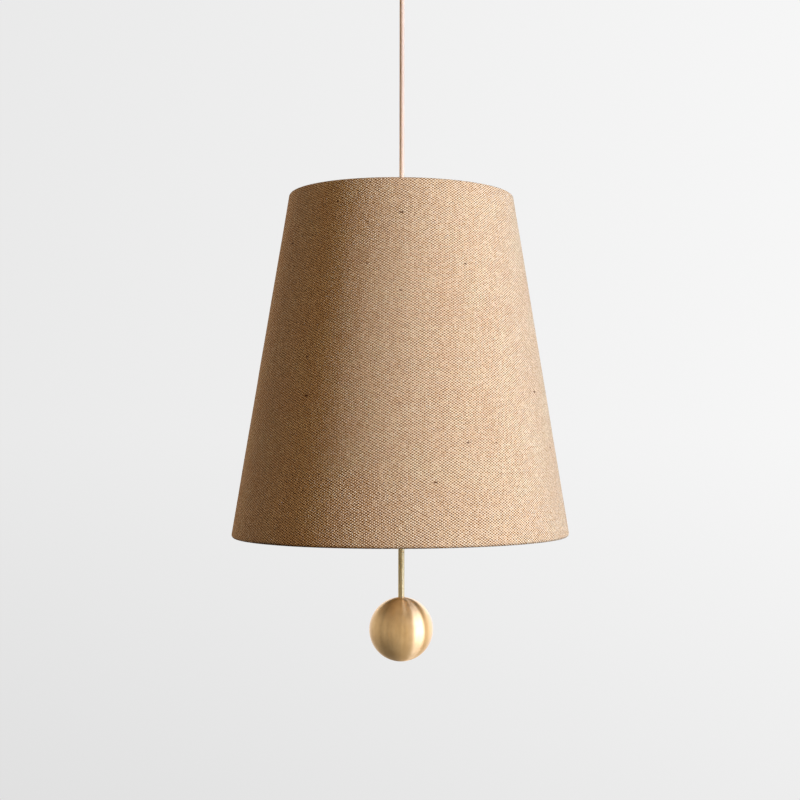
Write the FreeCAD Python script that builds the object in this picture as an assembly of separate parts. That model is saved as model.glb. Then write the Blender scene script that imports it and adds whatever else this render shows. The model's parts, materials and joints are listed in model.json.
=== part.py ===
"""Conical pendant light.

A woven cone shade hangs by a taut cord from a ceiling canopy. A wire spider carries the shade on a threaded
stem, a round hub under the stem holds three push-in lamps, and a rod from the hub carries a brass ball below
the shade. Sizes are millimetres and degrees. The origin is on the ceiling, at the middle of the strap, and
+Z points up, so the light hangs below zero.
"""

import FreeCAD, Part

import math
import os

V = FreeCAD.Vector

# Shade
SHADE_TOP_DIAMETER = 200.0
SHADE_BOTTOM_DIAMETER = 300.0
SHADE_HEIGHT = 304.0
FABRIC_THICKNESS = 0.9
LINER_THICKNESS = 0.4
FABRIC_GAP = 0.15
HEM_WRAP = 255.0
SEAM_WIDTH = 10.0
SEAM_RAISE = 0.5

# Wire rings and spider
RING_WIRE_DIAMETER = 3.0
SPIDER_RECESS = 25.0
SPIDER_PLATE_DIAMETER = 34.0
SPIDER_PLATE_THICKNESS = 2.0
SPIDER_ARM_DIAMETER = 4.0
SPIDER_ARM_COUNT = 3
SPIDER_FIRST_ARM = 90.0
ARM_OVERLAP = 4.0
ARM_HOLE_CLEARANCE = 0.3

# Cord
CORD_DIAMETER = 4.5
CORD_FREE_LENGTH = 197.0
CORD_CLEARANCE = 0.35
CORD_JOINT_GAP = 0.3

# Lamp thread, which the stem, the nipples and the cord bush share
THREAD_DIAMETER = 10.0
THREAD_BORE = 7.6
THREAD_GAP = 0.1
THREAD_END = 1.0
NUT_WALL = 2.0
NUT_THICKNESS = 3.0
NUT_ROOM = 0.4

# Ceiling strap
STRAP_WIDTH = 24.0
STRAP_THICKNESS = 1.5
STRAP_EAR_LENGTH = 18.0
STRAP_BEND_RADIUS = 1.2
STRAP_CLEARANCE = 0.5
SLOT_SPACING = 66.0
SLOT_LENGTH = 12.0
SLOT_WIDTH = 4.5
SUPPLY_HOLE_DIAMETER = 12.0

# Canopy and its side screws
CANOPY_DIAMETER = 110.0
CANOPY_HEIGHT = 26.0
CANOPY_WALL = 1.2
CANOPY_EDGE_RADIUS = 5.0
CANOPY_RIM_GAP = 0.5
SIDE_SCREW_DIAMETER = 4.0
SIDE_SCREW_DROP = 13.0
SIDE_SCREW_END = 2.0
SIDE_SCREW_HEAD_DIAMETER = 8.0
SIDE_SCREW_HEAD_LENGTH = 4.0
SIDE_SCREW_GAP = 0.05

# Terminal block
POLE_PITCH = 8.0
TERMINAL_DEPTH = 16.0
TERMINAL_HEIGHT = 12.0
TERMINAL_SETBACK = 3.0
TERMINAL_WIRE_HOLE = 3.2
TERMINAL_SCREW_DIAMETER = 3.4
TERMINAL_SCREW_SPACING = 8.0
TERMINAL_SCREW_SINK = 1.0
FIXING_SCREW_DIAMETER = 2.8
FIXING_SCREW_HEAD_DIAMETER = 5.2
FIXING_SCREW_HEAD_HEIGHT = 1.8
FIXING_SCREW_CLEARANCE = 0.3

# Cord bush and cord stop
BUSH_FLANGE_THICKNESS = 2.0
BUSH_FLANGE_RIM = 2.0
BUSH_NOSE_LENGTH = 9.0
BUSH_LIP_WALL = 1.0
BUSH_FLARE = 30.0
SWING_PIVOT_DEPTH = 5.0
STOP_WALL = 4.2
STOP_HEIGHT = 6.0
STOP_BORE_GAP = 0.05
CORD_TAIL_END = 1.0
PINCH_SCREW_DIAMETER = 3.0
PINCH_SCREW_STICK_OUT = 1.5

# Cord grip and stem
GRIP_LENGTH = 18.0
GRIP_THREAD = 8.0
GRIP_TAPER = 5.0
GRIP_WALL = 2.5
GRIP_TOP_WALL = 1.2
GRIP_SCREW_HEIGHT = 2.5
STEM_LENGTH = 88.0
STEM_SHOWING = 2.0

# Hub, whose size follows from the nuts that it holds
HUB_NUT_GAP = 2.0
HUB_FLAT_WALL = 2.0
HUB_POCKET_DEPTH = 0.5
HUB_SPOT_DEPTH = 1.5
HUB_LAP_HEIGHT = 3.0
HUB_LAP_GAP = 0.05
CONNECTOR_DIAMETER = 16.0
CONNECTOR_HEIGHT = 10.0

# Lamp arms, cups and holders
LAMP_COUNT = 3
LAMP_FIRST_AZIMUTH = 270.0
LAMP_SPLAY = 50.0
COLLAR_WALL = 2.0
COLLAR_LENGTH = 8.5
CUP_WALL = 1.0
CUP_BASE = 1.5
CUP_LIP = 0.5
HOLDER_DIAMETER = 22.0
HOLDER_LENGTH = 25.5
HOLDER_RECESS = 10.0
HOLDER_FIT = 0.3
RETAINER_THICKNESS = 2.5
RETAINER_WIDTH = 2.4
RETAINER_GAP = 0.05
CONTACT_THICKNESS = 0.5
CONTACT_WIDTH = 3.0
CONTACT_GAP = 0.1
CONTACT_SINK = 1.0

# Leads
LEAD_DIAMETER = 1.3
LEAD_GAP = 0.4
LEAD_PAIR_SPACING = 4.0
LEAD_START = 4.0
LEAD_END_GAP = 0.3
LEAD_END_RUN = 3.0
LEAD_INSERT = 6.0
LEAD_RISE = 3.0
LEAD_ARC_SHARE = 0.45

# Bulbs
BULB_SEAT_GAP = 0.3
BULB_BASE_DIAMETER = 16.0
BULB_SKIRT_HEIGHT = 6.0
BULB_FLANGE_HEIGHT = 4.0
BULB_SPIGOT_HEIGHT = 3.0
BULB_SPIGOT_GAP = 0.1
BULB_DIAMETER = 18.0
BULB_GLASS = 1.0
BULB_LENGTH = 40.0
BOARD_WIDTH = 10.0
BOARD_THICKNESS = 1.2
BOARD_LENGTH = 25.0
PIN_SPACING = 9.0
PIN_WIRE = 0.7
PIN_LOOP_WIDTH = 2.9
PIN_LENGTH = 14.0
PIN_ROOM = 0.55

# Hanger rod and ball
ROD_DIAMETER = 5.5
ROD_LENGTH = 224.0
ROD_THREAD_DIAMETER = 5.0
ROD_NUT_WALL = 1.5
ROD_NUT_THICKNESS = 4.0
BALL_DIAMETER = 57.0
BALL_WALL = 2.0
BALL_SEAT_MARGIN = 0.4
INSERT_WALL = 3.5
INSERT_LENGTH = 10.0

# Room that a cutter runs past the face that it cuts
OVERRUN = 1.0

# Sizes that follow from those above
splay = math.radians(LAMP_SPLAY)
hex_corner = 1 / math.cos(math.radians(30))
cord_radius = CORD_DIAMETER / 2
cord_bore = cord_radius + CORD_CLEARANCE
lead_radius = LEAD_DIAMETER / 2
lead_circle = (LEAD_DIAMETER + LEAD_GAP) / math.sqrt(3)
thread_radius = THREAD_DIAMETER / 2
thread_hole = thread_radius + THREAD_GAP
nut_across = THREAD_DIAMETER + 2 * NUT_WALL
nut_corner = nut_across / 2 * hex_corner
wire_radius = RING_WIRE_DIAMETER / 2
arm_radius = SPIDER_ARM_DIAMETER / 2
pinch_radius = PINCH_SCREW_DIAMETER / 2

# Heights from the ceiling down to the shade
canopy_radius = CANOPY_DIAMETER / 2
canopy_inner_radius = canopy_radius - CANOPY_WALL
canopy_rim_z = -CANOPY_RIM_GAP
canopy_floor_z = canopy_rim_z - CANOPY_HEIGHT
canopy_inside_z = canopy_floor_z + CANOPY_WALL
bush_top_z = canopy_inside_z + NUT_THICKNESS + THREAD_END
bush_flange_z = canopy_floor_z - BUSH_FLANGE_THICKNESS
bush_lip_z = bush_flange_z - BUSH_NOSE_LENGTH
pivot_z = bush_lip_z + SWING_PIVOT_DEPTH
throat_z = pivot_z + cord_radius + CORD_JOINT_GAP
stop_top_z = bush_top_z + STOP_HEIGHT
tail_top_z = stop_top_z + CORD_TAIL_END
cord_top_z = pivot_z - cord_radius - CORD_JOINT_GAP
grip_top_z = pivot_z - CORD_FREE_LENGTH
grip_bottom_z = grip_top_z - GRIP_LENGTH
stem_top_z = grip_bottom_z + GRIP_THREAD
stem_bottom_z = stem_top_z - STEM_LENGTH
cord_end_z = stem_top_z + CORD_JOINT_GAP
spider_top_z = grip_bottom_z - STEM_SHOWING - NUT_THICKNESS
spider_bottom_z = spider_top_z - SPIDER_PLATE_THICKNESS
shade_top_z = spider_top_z + SPIDER_RECESS
shade_bottom_z = shade_top_z - SHADE_HEIGHT

# Strap and terminal block
ear_outer_x = math.sqrt((canopy_inner_radius - STRAP_CLEARANCE) ** 2 - (STRAP_WIDTH / 2) ** 2)
ear_inner_x = ear_outer_x - STRAP_THICKNESS
terminal_x = SUPPLY_HOLE_DIAMETER / 2 + TERMINAL_SETBACK
terminal_middle_x = terminal_x + TERMINAL_DEPTH / 2
terminal_bottom_z = -STRAP_THICKNESS - TERMINAL_HEIGHT
terminal_wire_z = -STRAP_THICKNESS - TERMINAL_HEIGHT / 2
fixing_y = POLE_PITCH / 2
fixing_radius = FIXING_SCREW_DIAMETER / 2
side_screw_radius = SIDE_SCREW_DIAMETER / 2

# Shade section: the cone's slope and the centres of the two hems
slope = math.atan2((SHADE_BOTTOM_DIAMETER - SHADE_TOP_DIAMETER) / 2, SHADE_HEIGHT)
hem_bore = wire_radius + FABRIC_GAP
hem_radius = hem_bore + FABRIC_THICKNESS
top_hem_r = SHADE_TOP_DIAMETER / 2 + hem_radius * math.tan(slope) - hem_radius / math.cos(slope)
top_hem_z = shade_top_z - hem_radius
bottom_hem_r = SHADE_BOTTOM_DIAMETER / 2 - hem_radius * math.tan(slope) - hem_radius / math.cos(slope)
bottom_hem_z = shade_bottom_z + hem_radius

# Hub: the lower nuts clear the rod's nut, and walls and flats follow
rod_thread_radius = ROD_THREAD_DIAMETER / 2
rod_thread_hole = rod_thread_radius + THREAD_GAP
rod_nut_across = ROD_THREAD_DIAMETER + 2 * ROD_NUT_WALL
rod_nut_corner = rod_nut_across / 2 * hex_corner
hub_nut_face = (rod_nut_corner + HUB_NUT_GAP + nut_corner * math.cos(splay)) / math.sin(splay)
hub_inner_flat = hub_nut_face + NUT_THICKNESS
hub_outer_flat = hub_inner_flat + HUB_FLAT_WALL
hub_inner_radius = hub_inner_flat - HUB_POCKET_DEPTH
hub_radius = hub_outer_flat + HUB_SPOT_DEPTH
hub_lap_radius = (hub_inner_radius + hub_radius) / 2
hub_z = stem_bottom_z - hub_nut_face + THREAD_END
connector_z = hub_z - LEAD_START * math.cos(splay) + lead_radius * math.sin(splay) + LEAD_END_GAP
connector_top_z = connector_z + CONNECTOR_HEIGHT

# Lamp unit: distances from the hub's centre along the lamp's own axis
collar_radius = thread_radius + COLLAR_WALL
cup_start = hub_outer_flat + COLLAR_LENGTH
cup_floor = cup_start + CUP_BASE
nipple_start = hub_nut_face - THREAD_END
nipple_end = cup_floor + NUT_THICKNESS + THREAD_END
holder_radius = HOLDER_DIAMETER / 2
holder_back = cup_floor + HOLDER_RECESS
holder_face = cup_floor + HOLDER_LENGTH
cup_inner_radius = holder_radius + HOLDER_FIT
cup_radius = cup_inner_radius + CUP_WALL
retainer_radius = cup_inner_radius - RETAINER_GAP
cup_end = holder_face + RETAINER_THICKNESS + CUP_LIP
slot_half_width = PIN_WIRE / 2 + CONTACT_GAP + CONTACT_THICKNESS
slot_half_length = PIN_LOOP_WIDTH / 2 + PIN_ROOM
bulb_start = holder_face + BULB_SEAT_GAP
bulb_flange_start = bulb_start + BULB_SKIRT_HEIGHT
bulb_shoulder = bulb_flange_start + BULB_FLANGE_HEIGHT
bulb_spigot_end = bulb_shoulder + BULB_SPIGOT_HEIGHT
bulb_radius = BULB_DIAMETER / 2
bulb_inner_radius = bulb_radius - BULB_GLASS
bulb_dome = bulb_shoulder + BULB_LENGTH - bulb_radius

# Rod and ball
rod_radius = ROD_DIAMETER / 2
rod_top_z = hub_z - hub_outer_flat
rod_bottom_z = rod_top_z - ROD_LENGTH
ball_radius = BALL_DIAMETER / 2
ball_inner_radius = ball_radius - BALL_WALL
ball_seat_radius = rod_radius + BALL_SEAT_MARGIN
ball_z = rod_bottom_z - math.sqrt(ball_radius ** 2 - ball_seat_radius ** 2)
insert_bottom_z = ball_z + ball_inner_radius - INSERT_LENGTH


# Shapes that several pieces use

def cylinder(radius, low, high):
    return Part.makeCylinder(radius, high - low, V(0, 0, low))


def tube(outer_radius, bore_radius, low, high):
    return cylinder(outer_radius, low, high).cut(cylinder(bore_radius, low, high))


def bar(start, end, radius):
    return Part.makeCylinder(radius, (end - start).Length, start, end - start)


def block(low_corner, high_corner):
    size = high_corner - low_corner
    return Part.makeBox(size.x, size.y, size.z, low_corner)


def section_point(radius, height):
    return V(radius, 0, height)


def line(start, end):
    return Part.LineSegment(start, end).toShape()


def turned_edges(edges):
    """Solid turned about Z from a closed run of edges in the XZ plane."""
    return Part.Face(Part.Wire(edges)).revolve(V(0, 0, 0), V(0, 0, 1), 360)


def turned(outline):
    """Solid turned about Z from (radius, height) corners."""
    corners = [section_point(radius, height) for radius, height in outline]
    return turned_edges(Part.makePolygon(corners + corners[:1]).Edges)


def hexagon(across_flats, low, high):
    reach = across_flats / 2 * hex_corner
    angles = [math.radians(60 * index) for index in range(6)]
    corners = [V(reach * math.cos(angle), reach * math.sin(angle), low) for angle in angles]
    return Part.Face(Part.makePolygon(corners + corners[:1])).extrude(V(0, 0, high - low))


def lamp_nut(low):
    """Hexagon nut on the lamp thread, its lower face at the given height."""
    high = low + NUT_THICKNESS
    return hexagon(nut_across, low, high).cut(cylinder(thread_hole, low, high))


def round_section_arc(centre_r, centre_z, radius, start, sweep):
    """Arc in the XZ section from a start angle through a sweep, both in radians."""
    angles = [start, start + sweep / 2, start + sweep]
    points = [section_point(centre_r + radius * math.cos(a), centre_z + radius * math.sin(a)) for a in angles]
    return Part.Arc(*points).toShape()


def rounded_path(points):
    """Straight runs joined by tangent arcs, each as large as its shorter run allows."""
    edges = []
    start = points[0]
    for before, corner, after in zip(points, points[1:], points[2:]):
        way_in = corner - before
        way_out = after - corner
        setback = LEAD_ARC_SHARE * min(way_in.Length, way_out.Length)
        way_in.normalize()
        way_out.normalize()
        half_turn = way_in.getAngle(way_out) / 2
        inward = way_out - way_in
        inward.normalize()
        arc_start = corner - way_in * setback
        arc_middle = corner + inward * (setback * math.tan(half_turn / 2))
        arc_end = corner + way_out * setback
        edges.append(line(start, arc_start))
        edges.append(Part.Arc(arc_start, arc_middle, arc_end).toShape())
        start = arc_end
    edges.append(line(start, points[-1]))
    return Part.Wire(edges)


def lead_along(points):
    """Round insulated lead along straight runs and arcs."""
    profile = Part.makeCircle(lead_radius, points[0], points[1] - points[0])
    return rounded_path(points).makePipeShell([Part.Wire(profile)], True, False)


def around(shape, azimuth):
    """Copy of a shape turned about the light's axis."""
    copy = shape.copy()
    copy.rotate(V(0, 0, 0), V(0, 0, 1), azimuth)
    return copy


def lamp_place(shape, index):
    """Copy of a shape that was made along +Z, set on the axis of one lamp."""
    copy = shape.copy()
    copy.rotate(V(0, 0, 0), V(0, 1, 0), 180 - LAMP_SPLAY)
    copy = around(copy, LAMP_FIRST_AZIMUTH + index * 360 / LAMP_COUNT)
    copy.translate(V(0, 0, hub_z))
    return copy


def at_each_lamp(shape):
    return [lamp_place(shape, index) for index in range(LAMP_COUNT)]


# Ceiling fitting

def mounting_strap():
    """Bent steel strap: two screw slots, a supply hole, and ears tapped for the side screws."""
    half_width = STRAP_WIDTH / 2
    strap = block(V(-ear_outer_x, -half_width, -STRAP_THICKNESS), V(ear_outer_x, half_width, 0))
    for side in (-1, 1):
        ends = sorted([side * ear_inner_x, side * ear_outer_x])
        strap = strap.fuse(block(V(ends[0], -half_width, -STRAP_EAR_LENGTH), V(ends[1], half_width, 0)))
    strap = strap.removeSplitter()
    bends = [edge for edge in strap.Edges if is_strap_bend(edge)]
    strap = strap.makeFillet(min(STRAP_BEND_RADIUS, STRAP_THICKNESS), bends)
    for side in (-1, 1):
        strap = strap.cut(slot_cutter(side * SLOT_SPACING / 2))
    strap = strap.cut(cylinder(SUPPLY_HOLE_DIAMETER / 2, -STRAP_THICKNESS - OVERRUN, OVERRUN))
    screw_line = V(ear_outer_x + OVERRUN, 0, -SIDE_SCREW_DROP)
    strap = strap.cut(bar(screw_line, screw_line - V(2 * screw_line.x, 0, 0), side_screw_radius + THREAD_GAP))
    fixing_hole = cylinder(fixing_radius + THREAD_GAP, -STRAP_THICKNESS - OVERRUN, OVERRUN)
    fixing_hole.translate(V(terminal_middle_x, fixing_y, 0))
    return strap.cut(fixing_hole)


def is_strap_bend(edge):
    """Whether an edge is one of the two outer bends, along Y at the top of an ear."""
    ends = [vertex.Point for vertex in edge.Vertexes]
    at_ear = all(math.isclose(abs(end.x), ear_outer_x, abs_tol=1e-6) for end in ends)
    at_top = all(math.isclose(end.z, 0, abs_tol=1e-6) for end in ends)
    return at_ear and at_top


def slot_cutter(centre_x):
    """Round-ended slot along X, as long over all as SLOT_LENGTH."""
    radius = SLOT_WIDTH / 2
    reach = SLOT_LENGTH / 2 - radius
    low = -STRAP_THICKNESS - OVERRUN
    cutter = block(V(centre_x - reach, -radius, low), V(centre_x + reach, radius, OVERRUN))
    for side in (-1, 1):
        end = cylinder(radius, low, OVERRUN)
        end.translate(V(centre_x + side * reach, 0, 0))
        cutter = cutter.fuse(end)
    return cutter


def canopy_cup():
    """Spun cup with a round lower edge, a hole for the cord bush and two side holes."""
    edge_r = canopy_radius - CANOPY_EDGE_RADIUS
    edge_z = canopy_floor_z + CANOPY_EDGE_RADIUS
    quarter = -math.pi / 2
    corners = [
        section_point(canopy_inner_radius, edge_z),
        section_point(canopy_inner_radius, canopy_rim_z),
        section_point(canopy_radius, canopy_rim_z),
        section_point(canopy_radius, edge_z),
    ]
    edges = [line(start, end) for start, end in zip(corners, corners[1:])]
    edges.append(round_section_arc(edge_r, edge_z, CANOPY_EDGE_RADIUS, 0, quarter))
    floor = [
        section_point(edge_r, canopy_floor_z),
        section_point(thread_hole, canopy_floor_z),
        section_point(thread_hole, canopy_inside_z),
        section_point(edge_r, canopy_inside_z),
    ]
    edges += [line(start, end) for start, end in zip(floor, floor[1:])]
    edges.append(round_section_arc(edge_r, edge_z, CANOPY_EDGE_RADIUS - CANOPY_WALL, quarter, -quarter))
    screw_line = V(canopy_radius + OVERRUN, 0, -SIDE_SCREW_DROP)
    holes = bar(screw_line, screw_line - V(2 * screw_line.x, 0, 0), side_screw_radius + THREAD_GAP)
    return turned_edges(edges).cut(holes)


def canopy_screws():
    """Two thumb screws through the canopy's wall into the strap's ears."""
    head_x = canopy_radius + SIDE_SCREW_GAP
    screw = bar(V(ear_inner_x - SIDE_SCREW_END, 0, 0), V(head_x, 0, 0), side_screw_radius)
    head_end = V(head_x + SIDE_SCREW_HEAD_LENGTH, 0, 0)
    screw = screw.fuse(bar(V(head_x, 0, 0), head_end, SIDE_SCREW_HEAD_DIAMETER / 2))
    screw.translate(V(0, 0, -SIDE_SCREW_DROP))
    return [screw, around(screw, 180)]


def pole_places():
    """The Y places of the terminal block's three poles."""
    return [-POLE_PITCH, 0, POLE_PITCH]


def terminal_block():
    half_length = POLE_PITCH * len(pole_places()) / 2
    body = block(
        V(terminal_x, -half_length, terminal_bottom_z),
        V(terminal_x + TERMINAL_DEPTH, half_length, -STRAP_THICKNESS),
    )
    for y in pole_places():
        start = V(terminal_x - OVERRUN, y, terminal_wire_z)
        end = V(terminal_x + TERMINAL_DEPTH + OVERRUN, y, terminal_wire_z)
        body = body.cut(bar(start, end, TERMINAL_WIRE_HOLE / 2))
    for place in terminal_screw_places():
        hole = cylinder(TERMINAL_SCREW_DIAMETER / 2 + THREAD_GAP, terminal_bottom_z - OVERRUN, terminal_wire_z)
        hole.translate(place)
        body = body.cut(hole)
    fixing = cylinder(fixing_radius + FIXING_SCREW_CLEARANCE, terminal_bottom_z - OVERRUN, 0)
    fixing.translate(V(terminal_middle_x, fixing_y, 0))
    return body.cut(fixing)


def terminal_screw_places():
    reach = TERMINAL_SCREW_SPACING / 2
    return [V(terminal_middle_x + side * reach, y, 0) for y in pole_places() for side in (-1, 1)]


def terminal_screws():
    """Six clamping screws, their tips just under the leads."""
    tip_z = terminal_wire_z - lead_radius - THREAD_GAP
    screw = cylinder(TERMINAL_SCREW_DIAMETER / 2, terminal_bottom_z + TERMINAL_SCREW_SINK, tip_z)
    screws = []
    for place in terminal_screw_places():
        copy = screw.copy()
        copy.translate(place)
        screws.append(copy)
    return screws


def terminal_fixing_screw():
    head_z = terminal_bottom_z - FIXING_SCREW_HEAD_HEIGHT
    screw = cylinder(fixing_radius, terminal_bottom_z, 0)
    screw = screw.fuse(cylinder(FIXING_SCREW_HEAD_DIAMETER / 2, head_z, terminal_bottom_z))
    screw.translate(V(terminal_middle_x, fixing_y, 0))
    return screw


def cord_bush():
    """Threaded bush under the canopy, with a mouth that flares so that the cord can swing."""
    mouth_radius = cord_bore + (throat_z - bush_lip_z) * math.tan(math.radians(BUSH_FLARE))
    nose_radius = mouth_radius + BUSH_LIP_WALL
    flange_radius = max(nose_radius, thread_hole) + BUSH_FLANGE_RIM
    return turned([
        (cord_bore, throat_z),
        (cord_bore, bush_top_z),
        (thread_radius, bush_top_z),
        (thread_radius, canopy_floor_z),
        (flange_radius, canopy_floor_z),
        (flange_radius, bush_flange_z),
        (nose_radius, bush_flange_z),
        (nose_radius, bush_lip_z),
        (mouth_radius, bush_lip_z),
    ])


def bush_nut():
    return lamp_nut(canopy_inside_z)


def stop_radius():
    return cord_radius + STOP_WALL


def cord_stop():
    """Clamp on the cord above the bush, which takes the light's weight."""
    body = tube(stop_radius(), cord_radius + STOP_BORE_GAP, bush_top_z, stop_top_z)
    middle_z = (bush_top_z + stop_top_z) / 2
    hole = bar(V(0, 0, middle_z), V(0, -stop_radius() - OVERRUN, middle_z), pinch_radius + THREAD_GAP)
    return body.cut(hole)


def stop_screw():
    middle_z = (bush_top_z + stop_top_z) / 2
    tip = V(0, -cord_radius - STOP_BORE_GAP, middle_z)
    return bar(tip, V(0, -stop_radius() - PINCH_SCREW_STICK_OUT, middle_z), pinch_radius)


def cord_tail():
    """The cord's fixed end, up through the bush and the stop."""
    return cylinder(cord_radius, throat_z, tail_top_z)


def ceiling_lead(pole):
    """One core of the cord, from the tail's end into its pole of the terminal block."""
    pole_y = pole_places()[pole]
    angle = math.radians((pole - 1) * 120)
    start = V(lead_circle * math.cos(angle), lead_circle * math.sin(angle), tail_top_z)
    points = [
        start,
        start + V(0, 0, LEAD_RISE),
        V(terminal_x - LEAD_RISE, pole_y, terminal_wire_z),
        V(terminal_x + LEAD_INSERT, pole_y, terminal_wire_z),
    ]
    return lead_along(points)


# Cord between the canopy and the light

def cord_bend():
    """The short stretch of cord that bends in the bush's mouth."""
    return Part.makeSphere(cord_radius, V(0, 0, pivot_z))


def suspension_cord():
    """The taut stretch of cord, from the bend down into the grip."""
    return cylinder(cord_radius, cord_end_z, cord_top_z)


# Stem, spider and shade

def grip_radius():
    return thread_radius + GRIP_WALL


def grip_screw_z():
    return stem_top_z + GRIP_SCREW_HEIGHT


def cord_grip():
    """Turned grip that screws on to the stem and clamps the cord's end."""
    taper_z = grip_top_z - GRIP_TAPER
    body = turned([
        (thread_hole, grip_bottom_z),
        (grip_radius(), grip_bottom_z),
        (grip_radius(), taper_z),
        (cord_bore + GRIP_TOP_WALL, grip_top_z),
        (cord_bore, grip_top_z),
        (cord_bore, stem_top_z),
        (thread_hole, stem_top_z),
    ])
    start = V(0, cord_bore / 2, grip_screw_z())
    return body.cut(bar(start, V(0, grip_radius() + OVERRUN, grip_screw_z()), pinch_radius + THREAD_GAP))


def grip_screw():
    tip = V(0, cord_radius + CORD_JOINT_GAP, grip_screw_z())
    return bar(tip, V(0, grip_radius(), grip_screw_z()), pinch_radius)


def stem_tube():
    return tube(thread_radius, THREAD_BORE / 2, stem_bottom_z, stem_top_z)


def stem_nuts():
    """Nuts above and below the spider's plate, and outside and inside the hub's top."""
    lower_faces = [
        spider_top_z,
        spider_bottom_z - NUT_THICKNESS,
        hub_z + hub_outer_flat,
        hub_z + hub_nut_face,
    ]
    return [lamp_nut(face) for face in lower_faces]


def top_ring():
    return Part.makeTorus(top_hem_r, wire_radius, V(0, 0, top_hem_z))


def bottom_ring():
    return Part.makeTorus(bottom_hem_r, wire_radius, V(0, 0, bottom_hem_z))


def arm_bars(radius):
    """The spider's arms, as bars from the plate to the middle of the top ring's wire."""
    plate_end = section_point(SPIDER_PLATE_DIAMETER / 2 - ARM_OVERLAP, (spider_top_z + spider_bottom_z) / 2)
    arm = bar(plate_end, section_point(top_hem_r, top_hem_z), radius)
    step = 360 / SPIDER_ARM_COUNT
    return [around(arm, SPIDER_FIRST_ARM + step * index) for index in range(SPIDER_ARM_COUNT)]


def spider():
    """Plate on the stem with three arms that rise to the top ring and butt against it."""
    frame = tube(SPIDER_PLATE_DIAMETER / 2, thread_hole, spider_bottom_z, spider_top_z)
    for arm in arm_bars(arm_radius):
        frame = frame.fuse(arm)
    return frame.cut(top_ring())


def cone_section(outer_depth, inner_depth, end_setback):
    """Corners of a strip along the cone's wall, by depth in from its outer face."""
    outward = section_point(math.cos(slope), math.sin(slope))
    downward = section_point(math.sin(slope), -math.cos(slope))
    top = section_point(top_hem_r, top_hem_z) + outward * hem_radius
    bottom = section_point(bottom_hem_r, bottom_hem_z) + outward * hem_radius
    ends = [top + downward * end_setback, bottom - downward * end_setback]
    outer = [end - outward * outer_depth for end in ends]
    inner = [end - outward * inner_depth for end in ends]
    return [(corner.x, corner.z) for corner in outer + inner[::-1]]


def shade_fabric():
    """Woven cone with its edges rolled round the wire rings, and a lap seam at the back."""
    wrap = math.radians(HEM_WRAP)
    bottom_outer = round_section_arc(bottom_hem_r, bottom_hem_z, hem_radius, slope, -wrap)
    bottom_inner = round_section_arc(bottom_hem_r, bottom_hem_z, hem_bore, slope - wrap, wrap)
    top_inner = round_section_arc(top_hem_r, top_hem_z, hem_bore, slope, wrap)
    top_outer = round_section_arc(top_hem_r, top_hem_z, hem_radius, slope + wrap, -wrap)
    arcs = [bottom_outer, bottom_inner, top_inner, top_outer]
    edges = []
    for arc, following in zip(arcs, arcs[1:] + arcs[:1]):
        edges.append(arc)
        edges.append(line(arc.valueAt(arc.LastParameter), following.valueAt(following.FirstParameter)))
    cloth = turned_edges(edges).fuse(seam_strip())
    for hole in arm_bars(arm_radius + ARM_HOLE_CLEARANCE):
        cloth = cloth.cut(hole)
    return cloth


def seam_strip():
    """Overlapping strip down the back of the cone."""
    band = turned(cone_section(-SEAM_RAISE, FABRIC_THICKNESS / 2, 0))
    reach = SHADE_BOTTOM_DIAMETER
    window = block(V(-SEAM_WIDTH / 2, 0, shade_bottom_z), V(SEAM_WIDTH / 2, reach, shade_top_z))
    return band.common(window)


def shade_liner():
    """Stiff sheet behind the fabric, between the two hems."""
    face_depth = FABRIC_THICKNESS + FABRIC_GAP
    return turned(cone_section(face_depth, face_depth + LINER_THICKNESS, hem_radius))


# Hub

def hub_shell():
    centre = V(0, 0, hub_z)
    return Part.makeSphere(hub_radius, centre).cut(Part.makeSphere(hub_inner_radius, centre))


def boss_cutter(hole_radius, pocket_radius):
    """Cutter from the hub's centre along +Z: a hole, a flat for a nut inside and a flat seat outside."""
    reach = hub_radius + OVERRUN
    cutter = cylinder(hole_radius, 0, reach)
    cutter = cutter.fuse(cylinder(pocket_radius, 0, hub_inner_flat))
    return cutter.fuse(cylinder(hub_radius / 2, hub_outer_flat, reach))


def hub_upper():
    """Upper half of the hub, hung on the stem."""
    reach = hub_radius + OVERRUN
    half = hub_shell().common(cylinder(reach, hub_z, hub_z + reach))
    half = half.cut(cylinder(hub_lap_radius + HUB_LAP_GAP, hub_z, hub_z + HUB_LAP_HEIGHT + HUB_LAP_GAP))
    cutter = boss_cutter(thread_hole, nut_corner + NUT_ROOM)
    cutter.translate(V(0, 0, hub_z))
    return half.cut(cutter)


def hub_lower():
    """Lower half of the hub, lapped into the upper half, with the lamps' and the rod's seats."""
    reach = hub_radius + OVERRUN
    half = hub_shell().common(cylinder(reach, hub_z - reach, hub_z))
    half = half.fuse(tube(hub_lap_radius, hub_inner_radius, hub_z, hub_z + HUB_LAP_HEIGHT))
    for cutter in at_each_lamp(boss_cutter(thread_hole, nut_corner + NUT_ROOM)):
        half = half.cut(cutter)
    rod_cutter = boss_cutter(rod_thread_hole, rod_nut_corner + NUT_ROOM)
    rod_cutter.rotate(V(0, 0, 0), V(1, 0, 0), 180)
    rod_cutter.translate(V(0, 0, hub_z))
    return half.cut(rod_cutter)


def hub_connector():
    """Round connector that joins the cord's cores to the lamps' leads."""
    return cylinder(CONNECTOR_DIAMETER / 2, connector_z, connector_top_z)


# Lamp units, made along +Z and then placed

def nipples():
    return at_each_lamp(tube(thread_radius, THREAD_BORE / 2, nipple_start, nipple_end))


def nipple_nuts():
    return at_each_lamp(lamp_nut(hub_nut_face)) + at_each_lamp(lamp_nut(cup_floor))


def arm_collars():
    return at_each_lamp(tube(collar_radius, thread_hole, hub_outer_flat, cup_start))


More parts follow.
